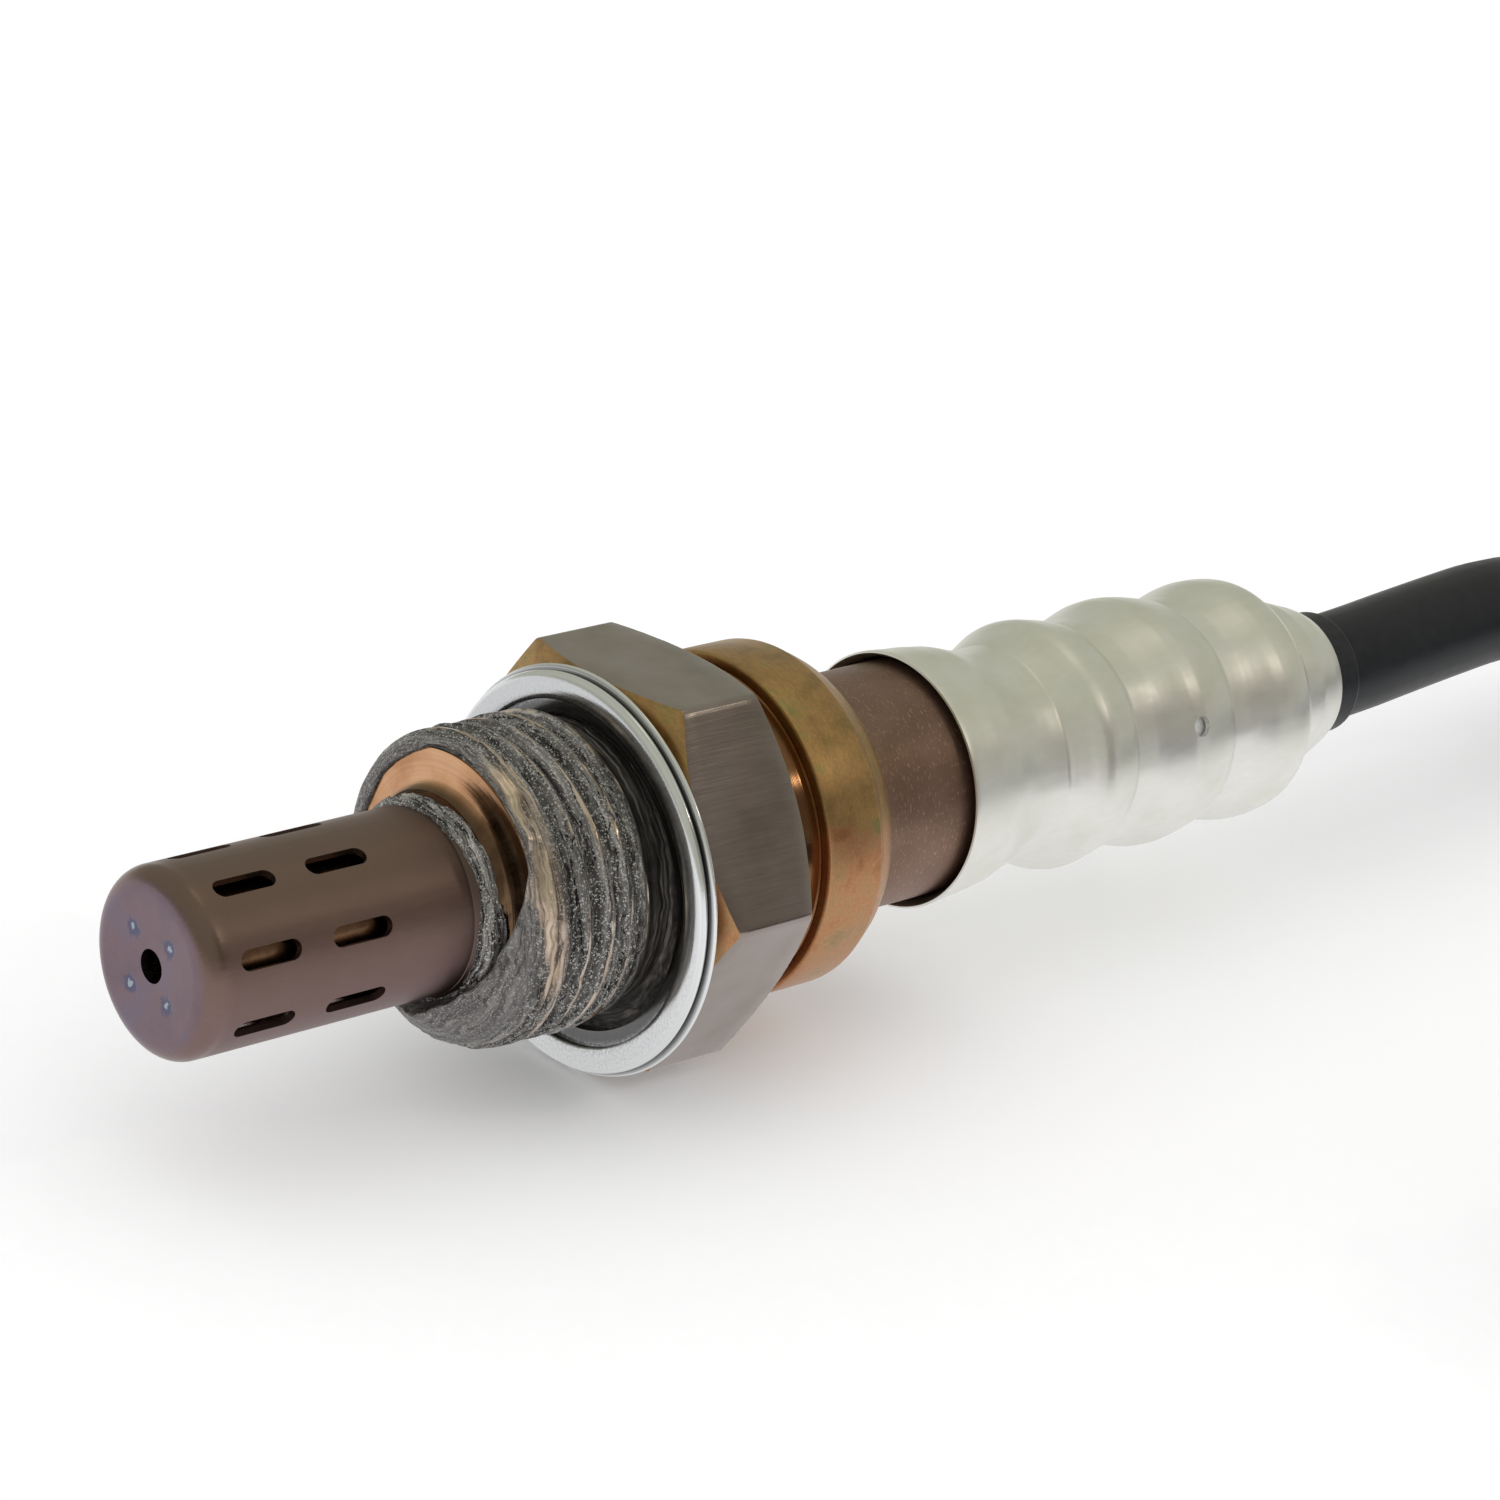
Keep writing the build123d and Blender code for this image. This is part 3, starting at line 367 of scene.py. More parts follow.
sheen = add_node(bronze_finish, "Mix", {0: groove_shade, 2: sheen, 3: 0.13})
relief = add_node(bronze_finish, "Bump", {"Height": rings, "Strength": 0.35, "Distance": 0.02 * MM})
surface(bronze_finish, Base_Color=groove_shaded_tone, Metallic=1.0, Roughness=sheen, Normal=relief)

# %% [markdown]
# The face of the nose got hottest and is copper, with fine rings from the lathe tool. It is painted
# bright from its top round the far side, a painted reflection. On the near side, and on the neck that
# joins it to the tube, it is painted a dark bronze, as painted shade.

# %% Finish: copper-tinted nose face
nose_finish, place = new_material("copper_tinted_steel")
turned = turned_place(nose_finish, place)
parts = add_node(nose_finish, "SeparateXYZ", {0: turned})
rings = drawn_noise(nose_finish, turned, (5.0, 5.0, 0.25), 3.0)
cloud = add_node(nose_finish, "TexNoise", {"Vector": place, "Scale": 0.4, "Detail": 5.0})
copper_tint = add_node(
    nose_finish, "ValToRGB", {0: cloud},
    stops=[(0.3, "#c8946c"), (0.5, "#dcab82"), (0.7, "#deb38f")])
# Painted shade: the dark bronze of the near side and the neck.
painted_shade_tint = add_node(
    nose_finish, "ValToRGB", {0: cloud},
    stops=[(0.3, "#5c4737"), (0.5, "#755c47"), (0.7, "#866c55")])
# Painted reflection: bright copper on the top and far side, away from the neck.
ragged = add_node(
    nose_finish, "Math", {0: cloud, 1: 0.8, 2: parts.outputs["Z"]}, operation="MULTIPLY_ADD")
lit_far_side = add_node(nose_finish, "MapRange", {
    "Value": ragged, "From Min": -0.5, "From Max": 0.25}, interpolation_type="SMOOTHSTEP")
outer = add_node(nose_finish, "MapRange", {
    "Value": parts.outputs["Y"], "From Min": 5.85, "From Max": 6.4}, interpolation_type="SMOOTHSTEP")
painted_bright_share = add_node(nose_finish, "Math", {0: lit_far_side, 1: outer}, operation="MULTIPLY")
tint = add_node(nose_finish, "Mix", {0: painted_bright_share, 6: painted_shade_tint, 7: copper_tint}, data_type="RGBA")
ringed = add_node(
    nose_finish, "Mix", {0: 0.35, 6: tint, 7: rings}, data_type="RGBA",
    blend_type="MULTIPLY")
sheen = add_node(nose_finish, "MapRange", {"Value": painted_bright_share, "To Min": 0.17, "To Max": 0.24})
relief = add_node(nose_finish, "Bump", {"Height": rings, "Strength": 0.5, "Distance": 0.03 * MM})
surface(nose_finish, Base_Color=ringed, Metallic=1.0, Roughness=sheen, Normal=relief)

# %% [markdown]
# Anti-seize paste is grease full of metal powder, brushed on so that the thread comes undone again.
# It dries grey, in streaks along the turns with cracks between them, and the cracks are painted
# near-black, as painted shade. Its flakes lie at odd angles, so each one mirrors the lamp or doesn't,
# and those that do sparkle. The flakes are also painted lighter, as painted glints.

# %% Recipe: dried anti-seize paste
THREAD_PITCH = 1.5
THREAD_TURN = 0.267


def paste_nodes(material, place, turned):
    """Colour, roughness, streaks, flakes and two normals. Streaks are long round the axis."""
    bend = add_node(material, "TexNoise", {"Vector": place, "Scale": 0.7, "Detail": 1.0})
    bent = add_node(material, "VectorMath", {
        0: bend.outputs["Color"], 1: (0.6, 0.6, 0.0), 2: turned}, operation="MULTIPLY_ADD")
    streaks = drawn_noise(material, bent, (4.5, 2.0, 1.1), 3.0)
    folds = drawn_noise(material, bent, (2.6, 2.0, 0.7), 3.0)
    off_fold = add_node(material, "Math", {0: folds, 1: 0.5}, operation="SUBTRACT")
    off_fold = add_node(material, "Math", {0: off_fold}, operation="ABSOLUTE")
    crack = add_node(material, "MapRange", {
        "Value": off_fold, "From Min": 0.006, "From Max": 0.028, "To Min": 1.0, "To Max": 0.0},
        interpolation_type="SMOOTHSTEP")
    grit = add_node(material, "TexNoise", {"Vector": place, "Scale": 8.0, "Detail": 2.0})
    tone = add_node(
        material, "ValToRGB", {0: streaks},
        stops=[(0.3, "#43403e"), (0.42, "#615e5b"), (0.52, "#7e7b78"), (0.62, "#979490"),
               (0.74, "#b5b1ac")])
    gritty = add_node(
        material, "Mix", {0: 0.18, 6: tone, 7: grit}, data_type="RGBA", blend_type="OVERLAY")
    # Painted shade: the cracks are darkened to near-black.
    crack_shaded = add_node(material, "Mix", {0: crack, 6: gritty, 7: "#1c1a18"}, data_type="RGBA")
    flakes = add_node(material, "TexVoronoi", {"Vector": place, "Scale": 13.5})
    chance = add_node(material, "SeparateXYZ", {0: flakes.outputs["Color"]}).outputs["X"]
    flake = add_node(material, "MapRange", {"Value": chance, "From Min": 0.84, "From Max": 0.86})
    height = add_node(material, "Math", {0: grit, 1: 0.2, 2: streaks}, operation="MULTIPLY_ADD")
    height = add_node(material, "Math", {0: crack, 1: -0.6, 2: height}, operation="MULTIPLY_ADD")
    relief = add_node(material, "Bump", {"Height": height, "Strength": 0.55, "Distance": 0.1 * MM})
    spread = add_node(material, "VectorMath", {
        0: flakes.outputs["Color"], 1: (0.5, 0.5, 0.5)}, operation="SUBTRACT")
    tipped = add_node(material, "VectorMath", {
        0: spread, 1: (0.22, 0.22, 0.22), 2: relief}, operation="MULTIPLY_ADD")
    tipped = add_node(material, "VectorMath", {0: tipped}, operation="NORMALIZE")
    sheen = add_node(material, "MapRange", {"Value": grit, "To Min": 0.45, "To Max": 0.7})
    return crack_shaded, sheen, streaks, flake, relief, tipped


def paste_surface(material, colour, sheen, flake, relief, tipped, metallic, bare=None):
    """Flakes mixed in: painted lighter as glints, smoother, facing their own way. Bare metal is even.
    """
    # Painted glints: the flakes are lightened towards near-white.
    glint_painted_colour = add_node(material, "Mix", {0: flake, 6: colour, 7: "#f3f1ec"}, data_type="RGBA")
    glint_painted_colour = add_node(material, "Mix", {0: 0.42, 6: colour, 7: glint_painted_colour}, data_type="RGBA")
    smooth = add_node(material, "Mix", {0: flake, 2: sheen, 3: 0.28})
    facing = add_node(material, "Mix", {0: flake, 4: relief, 5: tipped}, data_type="VECTOR")
    if bare is not None:
        mesh_normal = add_node(material, "NewGeometry").outputs["Normal"]
        even = add_node(material, "Math", {0: bare, 1: 0.7}, operation="MULTIPLY")
        facing = add_node(material, "Mix", {0: even, 4: facing, 5: mesh_normal}, data_type="VECTOR")
    return surface(material, Base_Color=glint_painted_colour, Metallic=metallic, Roughness=smooth, Normal=facing)


# %% [markdown]
# Round the tube the paste lies by itself, with no metal showing through, so it takes the recipe as it
# is. The metal powder in it makes it partly metallic.

# %% Finish: paste by itself
paste_finish, place = new_material("anti_seize_paste")
turned = turned_place(paste_finish, place)
colour, sheen, streaks, flake, relief, tipped = paste_nodes(paste_finish, place, turned)
paste_surface(paste_finish, colour, sheen, flake, relief, tipped, 0.6)

# %% [markdown]
# On the thread the brush wiped the crests nearly clean, so broken bronze lines run round it, one
# pitch apart, over dark valleys, and a broad patch shows at its front on one side. The distance from
# a crest comes from the helix: the station over the pitch plus the angle's share of a turn is whole
# on a crest.

# %% Where bare metal shows on the thread
thread_finish, place = new_material("anti_seize_paste_on_thread")
turned = turned_place(thread_finish, place)
colour, sheen, streaks, flake, relief, tipped = paste_nodes(thread_finish, place, turned)
parts = add_node(thread_finish, "SeparateXYZ", {0: turned})
station = parts.outputs["X"]
angle = parts.outputs["Z"]
share = add_node(thread_finish, "Math", {
    0: angle, 1: 1 / (2 * math.pi), 2: THREAD_TURN}, operation="MULTIPLY_ADD")
helix = add_node(thread_finish, "Math", {
    0: station, 1: 1 / THREAD_PITCH, 2: share}, operation="MULTIPLY_ADD")
off_crest = add_node(thread_finish, "Math", {0: helix, 1: 0.5}, operation="PINGPONG")
patches = drawn_noise(thread_finish, turned, (0.9, 0.0, 1.5), 4.0)
smear = add_node(thread_finish, "Math", {0: streaks, 1: 0.9, 2: patches}, operation="MULTIPLY_ADD")
line = add_node(thread_finish, "Math", {0: off_crest, 1: -1.9, 2: smear}, operation="MULTIPLY_ADD")
crest_line = add_node(thread_finish, "MapRange", {
    "Value": line, "From Min": 0.84, "From Max": 1.0, "To Max": 0.85},
    interpolation_type="SMOOTHSTEP")
before_end = add_node(
    thread_finish, "MapRange", {"Value": station, "From Min": 27.2, "From Max": 26.9})
off_lump = add_node(
    thread_finish, "MapRange", {"Value": station, "From Min": 19.6, "From Max": 20.3})
for limit in (before_end, off_lump):
    crest_line = add_node(thread_finish, "Math", {0: crest_line, 1: limit}, operation="MULTIPLY")
side = add_node(thread_finish, "Math", {0: angle, 1: 1.13}, operation="ADD")
side = add_node(thread_finish, "Math", {0: side, 1: 0.8}, operation="MULTIPLY")
side = add_node(thread_finish, "Math", {0: side}, operation="COSINE")
side = add_node(thread_finish, "MapRange", {
    "Value": side, "From Min": 0.72, "From Max": 0.88}, interpolation_type="SMOOTHSTEP")
lean = add_node(thread_finish, "MapRange", {
    "Value": angle, "From Min": -1.22, "From Max": -1.6, "To Max": -0.5})
wavy = add_node(thread_finish, "Math", {0: smear, 1: 1.2, 2: station}, operation="MULTIPLY_ADD")
wavy = add_node(thread_finish, "Math", {0: wavy, 1: lean}, operation="ADD")
patch_front = add_node(thread_finish, "MapRange", {
    "Value": wavy, "From Min": 20.3, "From Max": 20.8}, interpolation_type="SMOOTHSTEP")
patch_rear = add_node(thread_finish, "MapRange", {
    "Value": wavy, "From Min": 22.1, "From Max": 21.3}, interpolation_type="SMOOTHSTEP")
torn = add_node(thread_finish, "MapRange", {
    "Value": smear, "From Min": 0.8, "From Max": 0.98, "To Min": 0.25, "To Max": 0.95})
wiped = patch_front
for limit in (patch_rear, side, torn):
    wiped = add_node(thread_finish, "Math", {0: wiped, 1: limit}, operation="MULTIPLY")
bare = add_node(thread_finish, "Math", {0: crest_line, 1: wiped}, operation="MAXIMUM")
print("nodes that place the bare metal:", len(thread_finish.node_tree.nodes))

# %% [markdown]
# The paste between the crests is painted darker in the valleys, as painted shade. The lump in front
# of the thread is plainer, and behind the last turn, up to the gasket, all is painted dark as
# painted shade. Sparks show only on paste that is away from bare metal, the lump and that dark part.

# %% Finish: paste on the thread: bronze crests, painted shade in the valleys and behind the turns
metal = add_node(
    thread_finish, "ValToRGB", {0: streaks},
    stops=[(0.35, "#8f7d6d"), (0.5, "#b9a48f"), (0.65, "#dccab9")])
# Painted shade: the valleys between the crests are darkened.
valley_shade = add_node(thread_finish, "MapRange", {
    "Value": off_crest, "From Min": 0.2, "From Max": 0.48, "To Max": 0.62},
    interpolation_type="SMOOTHSTEP")
valley_shade = add_node(thread_finish, "Math", {0: valley_shade, 1: off_lump}, operation="MULTIPLY")
shaded = add_node(thread_finish, "Mix", {0: valley_shade, 6: colour, 7: "#35312f"}, data_type="RGBA")
plain = add_node(thread_finish, "MapRange", {
    "Value": station, "From Min": 19.9, "From Max": 19.2, "To Max": 0.5})
plainer = add_node(thread_finish, "Mix", {0: plain, 6: shaded, 7: "#7a7777"}, data_type="RGBA")
# Painted shade: behind the last turn, up to the gasket, the paste is darkened.
shade_behind = add_node(thread_finish, "MapRange", {
    "Value": station, "From Min": 26.2, "From Max": 27.0}, interpolation_type="SMOOTHSTEP")
shade_behind_tone = add_node(
    thread_finish, "ValToRGB", {0: streaks},
    stops=[(0.35, "#2b2826"), (0.52, "#4a4642"), (0.68, "#8b8680")])
shaded_behind = add_node(thread_finish, "Mix", {0: shade_behind, 6: plainer, 7: shade_behind_tone}, data_type="RGBA")
mixed = add_node(thread_finish, "Mix", {0: bare, 6: shaded_behind, 7: metal}, data_type="RGBA")
smooth = add_node(thread_finish, "Mix", {0: bare, 2: sheen, 3: 0.18})
no_sparkle = add_node(thread_finish, "Math", {0: bare, 1: shade_behind}, operation="MAXIMUM")
no_sparkle = add_node(thread_finish, "Math", {0: no_sparkle, 1: plain}, operation="MAXIMUM")
sparkle = add_node(thread_finish, "Math", {0: 1.0, 1: no_sparkle}, operation="SUBTRACT")
sparkle = add_node(thread_finish, "Math", {0: flake, 1: sparkle}, operation="MULTIPLY")
metallic = add_node(thread_finish, "MapRange", {"Value": bare, "To Min": 0.6, "To Max": 1.0})
paste_surface(thread_finish, mixed, smooth, sparkle, relief, tipped, metallic, bare=bare)

# %% [markdown]
# The gasket is folded from bright steel sheet. It is new, so it reflects almost like chrome, with a
# fine grain round it from rolling the fold and a few small pits. Its face is painted darker towards
# the top, a painted reflection. Round its bore it is painted dark, a painted reflection of the
# thread, and the groove between its folds is painted dark as painted shade. It hangs a little low,
# so its pattern is centred on its own axis.

# %% Finish: bright folded steel
GASKET_SHIFT = (-0.3, -0.6)
GASKET_GROOVE = 28.69
gasket_finish, place = new_material("bright_folded_steel")
hung = add_node(gasket_finish, "Mapping", {
    "Vector": place, "Location": (0, -GASKET_SHIFT[0], -GASKET_SHIFT[1])})
turned = turned_place(gasket_finish, hung)
rings = drawn_noise(gasket_finish, turned, (9.0, 9.0, 0.8), 4.0)
pits = add_node(gasket_finish, "TexNoise", {"Vector": place, "Scale": 6.0, "Detail": 3.0})
tone = add_node(
    gasket_finish, "ValToRGB", {0: rings},
    stops=[(0.3, "#dddedf"), (0.6, "#e7e8e9"), (0.8, "#efefee")])
face_tone = add_node(
    gasket_finish, "ValToRGB", {0: pits},
    stops=[(0.35, "#dfe1e2"), (0.5, "#e9eaeb"), (0.65, "#f0f1f2")])
parts = add_node(gasket_finish, "SeparateXYZ", {0: turned})
radius = parts.outputs["Y"]
height = add_node(gasket_finish, "SeparateXYZ", {0: hung}).outputs["Z"]
# Painted reflection: the face is darkened towards the top.
painted_dark_top = add_node(gasket_finish, "MapRange", {
    "Value": height, "From Min": -4.0, "From Max": 7.0, "To Max": 0.5},
    interpolation_type="SMOOTHSTEP")
face_tone = add_node(gasket_finish, "Mix", {0: painted_dark_top, 6: face_tone, 7: "#a0a2a4"}, data_type="RGBA")
on_rim = add_node(gasket_finish, "MapRange", {
    "Value": radius, "From Min": 11.15, "From Max": 11.4}, interpolation_type="SMOOTHSTEP")
tone = add_node(gasket_finish, "Mix", {0: on_rim, 6: face_tone, 7: tone}, data_type="RGBA")
# Painted shade: the groove between the folds is darkened.
off_groove = add_node(
    gasket_finish, "Math", {0: parts.outputs["X"], 1: GASKET_GROOVE}, operation="SUBTRACT")
off_groove = add_node(gasket_finish, "Math", {0: off_groove}, operation="ABSOLUTE")
fold_groove_shade = add_node(gasket_finish, "MapRange", {
    "Value": off_groove, "From Min": 0.12, "From Max": 0.04, "To Max": 0.9})
# Painted reflection: the face is darkened round the bore.
bore_and_groove_shade = add_node(gasket_finish, "Math", {0: pits, 1: 0.5, 2: radius}, operation="MULTIPLY_ADD")
bore_and_groove_shade = add_node(gasket_finish, "MapRange", {
    "Value": bore_and_groove_shade, "From Min": 10.75, "From Max": 9.9, "To Max": 0.85},
    interpolation_type="SMOOTHSTEP")
bore_and_groove_shade = add_node(gasket_finish, "Math", {0: bore_and_groove_shade, 1: fold_groove_shade}, operation="MAXIMUM")
painted_dark_tone = add_node(gasket_finish, "Mix", {0: bore_and_groove_shade, 6: tone, 7: "#3b3a39"}, data_type="RGBA")
sheen = add_node(gasket_finish, "MapRange", {"Value": pits, "To Min": 0.14, "To Max": 0.24})
rough = add_node(gasket_finish, "Math", {0: pits, 1: 0.6, 2: rings}, operation="MULTIPLY_ADD")
relief = add_node(gasket_finish, "Bump", {"Height": rough, "Strength": 0.22, "Distance": 0.02 * MM})
surface(gasket_finish, Base_Color=painted_dark_tone, Metallic=1.0, Roughness=sheen, Normal=relief)

# %% [markdown]
# The cover is a deep-drawn stainless shell. Tumbling left it satin with a fine orange peel, and the
# crimping jaws rubbed soft streaks into it. It never gets hot, so it keeps its colour.

# %% Finish: satin stainless on the cover
cover_finish, place = new_material("satin_drawn_stainless")
streaks = drawn_noise(cover_finish, place, (0.7, 2.2, 2.2), 5.0)
cloud = add_node(cover_finish, "TexNoise", {"Vector": place, "Scale": 0.28, "Detail": 3.0})
speckle = add_node(cover_finish, "TexNoise", {"Vector": place, "Scale": 5.0, "Detail": 3.0})
tone = add_node(
    cover_finish, "ValToRGB", {0: cloud},
    stops=[(0.3, "#ecebe1"), (0.5, "#f1f0e9"), (0.7, "#f5f4f0")])
streaked = add_node(
    cover_finish, "Mix", {0: 0.1, 6: tone, 7: streaks}, data_type="RGBA", blend_type="MULTIPLY")
sheen = add_node(cover_finish, "MapRange", {"Value": streaks, "To Min": 0.36, "To Max": 0.44})
dents = add_node(cover_finish, "Math", {0: speckle, 1: 0.5, 2: streaks}, operation="MULTIPLY_ADD")
relief = add_node(cover_finish, "Bump", {"Height": dents, "Strength": 0.25, "Distance": 0.03 * MM})
surface(cover_finish, Base_Color=streaked, Metallic=1.0, Roughness=sheen, Normal=relief)

# %% [markdown]
# The slotted tube sits in the exhaust's heat. It is a nickel alloy that goes a matt brown, with a
# mauve bloom low down and a purple end.

# %% Tints of the heat-browned tube
tube_finish, place = new_material("heat_browned_nickel_steel")
parts = add_node(tube_finish, "SeparateXYZ", {0: place})
turned = add_node(tube_finish, "SeparateXYZ", {0: turned_place(tube_finish, place)})
cloud = add_node(tube_finish, "TexNoise", {"Vector": place, "Scale": 0.35, "Detail": 5.0})
fibre = drawn_noise(tube_finish, place, (0.9, 5.0, 5.0), 5.0)
lift = add_node(
    tube_finish, "Math", {0: cloud, 1: 6.0, 2: parts.outputs["Z"]}, operation="MULTIPLY_ADD")
bloom = add_node(tube_finish, "MapRange", {"Value": lift, "From Min": -2.5, "From Max": 7.5})
side_tint = add_node(
    tube_finish, "ValToRGB", {0: bloom},
    stops=[(0.0, "#806c69"), (0.4, "#846d69"), (0.7, "#7f6962"), (1.0, "#836e65")])
end_tint = add_node(
    tube_finish, "ValToRGB", {0: cloud},
    stops=[(0.3, "#776770"), (0.5, "#806d74"), (0.7, "#7b6f7d")])
from_tip = add_node(tube_finish, "Math", {
    0: turned.outputs["Y"], 1: 0.45, 2: parts.outputs["X"]}, operation="MULTIPLY_ADD")
end = add_node(tube_finish, "MapRange", {
    "Value": from_tip, "From Min": 1.75, "From Max": 2.35}, interpolation_type="SMOOTHSTEP")
tinted = add_node(tube_finish, "Mix", {0: end, 6: end_tint, 7: side_tint}, data_type="RGBA")
at_rear = add_node(tube_finish, "MapRange", {
    "Value": parts.outputs["X"], "From Min": 17.1, "From Max": 17.5, "To Max": 0.6})
tinted = add_node(tube_finish, "Mix", {0: at_rear, 6: tinted, 7: "#554a45"}, data_type="RGBA")
grained = add_node(
    tube_finish, "Mix", {0: 0.14, 6: tinted, 7: fibre}, data_type="RGBA",
    blend_type="MULTIPLY")
print("nodes of the tube's tints:", len(tube_finish.node_tree.nodes))

# %% [markdown]
# Four spot welds hold the inner tube to that end: each left a small bright dimple, the pool, with a
# bluish halo. Folding the angle into one quarter draws all four at once. Hands rubbed the rounded
# edge a little smoother.

# %% Finish: heat-browned tube with its spot welds
WELD_RADIUS = 2.33
quarter = add_node(tube_finish, "Math", {
    0: turned.outputs["Z"], 1: math.pi / 2, 2: 0.0}, operation="WRAP")
quarter = add_node(tube_finish, "Math", {0: quarter, 1: math.pi / 4}, operation="SUBTRACT")
beside = add_node(tube_finish, "Math", {0: quarter, 1: turned.outputs["Y"]}, operation="MULTIPLY")
outwards = add_node(
    tube_finish, "Math", {0: turned.outputs["Y"], 1: WELD_RADIUS}, operation="SUBTRACT")
offset = add_node(tube_finish, "CombineXYZ", {"X": beside, "Y": outwards})
from_weld = add_node(tube_finish, "VectorMath", {0: offset}, operation="LENGTH")
uneven = add_node(tube_finish, "TexNoise", {"Vector": place, "Scale": 3.0, "Detail": 2.0})
from_weld = add_node(
    tube_finish, "Math", {0: uneven, 1: 0.7, 2: from_weld}, operation="MULTIPLY_ADD")
on_end = add_node(tube_finish, "MapRange", {
    "Value": parts.outputs["X"], "From Min": 0.1, "From Max": 0.3, "To Min": 1.0, "To Max": 0.0})
welded = grained
weld_marks = []
for full_at, gone_at, strength, tint in ((0.72, 1.02, 0.8, "#535873"), (0.47, 0.58, 0.9, "#9fa9b2")):
    mark = add_node(tube_finish, "MapRange", {
        "Value": from_weld, "From Min": full_at, "From Max": gone_at, "To Min": strength,
        "To Max": 0.0}, interpolation_type="SMOOTHSTEP")
    mark = add_node(tube_finish, "Math", {0: mark, 1: on_end}, operation="MULTIPLY")
    welded = add_node(tube_finish, "Mix", {0: mark, 6: welded, 7: tint}, data_type="RGBA")
    weld_marks.append(mark)
halo, pool = weld_marks
sheen = add_node(tube_finish, "MapRange", {"Value": fibre, "To Min": 0.41, "To Max": 0.5})
rubbed = add_node(tube_finish, "MapRange", {
    "Value": parts.outputs["X"], "From Min": 1.6, "From Max": 0.9, "To Max": -0.14})
sheen = add_node(tube_finish, "Math", {0: sheen, 1: rubbed}, operation="ADD")
sheen = add_node(tube_finish, "Math", {0: pool, 1: -0.15, 2: sheen}, operation="MULTIPLY_ADD")
height = add_node(tube_finish, "Math", {0: halo, 1: -5.0, 2: fibre}, operation="MULTIPLY_ADD")
relief = add_node(tube_finish, "Bump", {"Height": height, "Strength": 0.25, "Distance": 0.03 * MM})
surface(tube_finish, Base_Color=welded, Metallic=1.0, Roughness=sheen, Normal=relief)

# %% [markdown]
# The sleeve behind the collar is the same browned alloy, plainer and duller, with small bright flecks
# drawn out round it.

# %% Finish: browned sleeve with flecks
sleeve_finish, place = new_material("browned_sleeve_steel")
turned = turned_place(sleeve_finish, place)
fibre = drawn_noise(sleeve_finish, turned, (7.0, 1.0, 22.0), 5.0)
fleck = add_node(sleeve_finish, "MapRange", {
    "Value": fibre, "From Min": 0.57, "From Max": 0.7, "To Max": 0.5})
cloud = add_node(sleeve_finish, "TexNoise", {"Vector": place, "Scale": 0.3, "Detail": 3.0})
tone = add_node(
    sleeve_finish, "ValToRGB", {0: cloud},
    stops=[(0.3, "#816858"), (0.5, "#8b7063"), (0.7, "#927668")])
flecked = add_node(sleeve_finish, "Mix", {0: fleck, 6: tone, 7: "#c9ad96"}, data_type="RGBA")
sheen = add_node(sleeve_finish, "MapRange", {"Value": fibre, "To Min": 0.44, "To Max": 0.54})
relief = add_node(sleeve_finish, "Bump", {"Height": fibre, "Strength": 0.2, "Distance": 0.02 * MM})
surface(sleeve_finish, Base_Color=flecked, Metallic=1.0, Roughness=sheen, Normal=relief)

# %% [markdown]
# The pieces inside and on the lead's end are simpler: moulded, fired or pressed, each with one
# colour and a fine grain. One recipe covers them, fed with the colour, the sheen and the grain size.

# %% Finish: one recipe for moulded, fired and pressed pieces
def grained_finish(name, dark, light, metallic, sheen_low, sheen_high, grain_mm, depth_mm, gloss=0.5):
    """Noise of one grain size blends two tones, moves the roughness and lifts the surface."""
    material, place = new_material(name)
    grain = add_node(material, "TexNoise", {"Vector": place, "Scale": 1 / grain_mm, "Detail": 4.0})
    tone = add_node(material, "ValToRGB", {0: grain}, stops=[(0.35, dark), (0.65, light)])
    sheen = add_node(
        material, "MapRange", {"Value": grain, "To Min": sheen_low, "To Max": sheen_high})
    relief = add_node(
        material, "Bump", {"Height": grain, "Strength": 0.4, "Distance": depth_mm * MM})
    return surface(
        material, Base_Color=tone, Metallic=metallic, Roughness=sheen, Normal=relief,
        Specular_IOR_Level=gloss)


# %% [markdown]
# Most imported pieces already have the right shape, so they stay and only get their finish. The lead's
# jacket and the filter's film are made in the scene, so their finishes are kept for later.

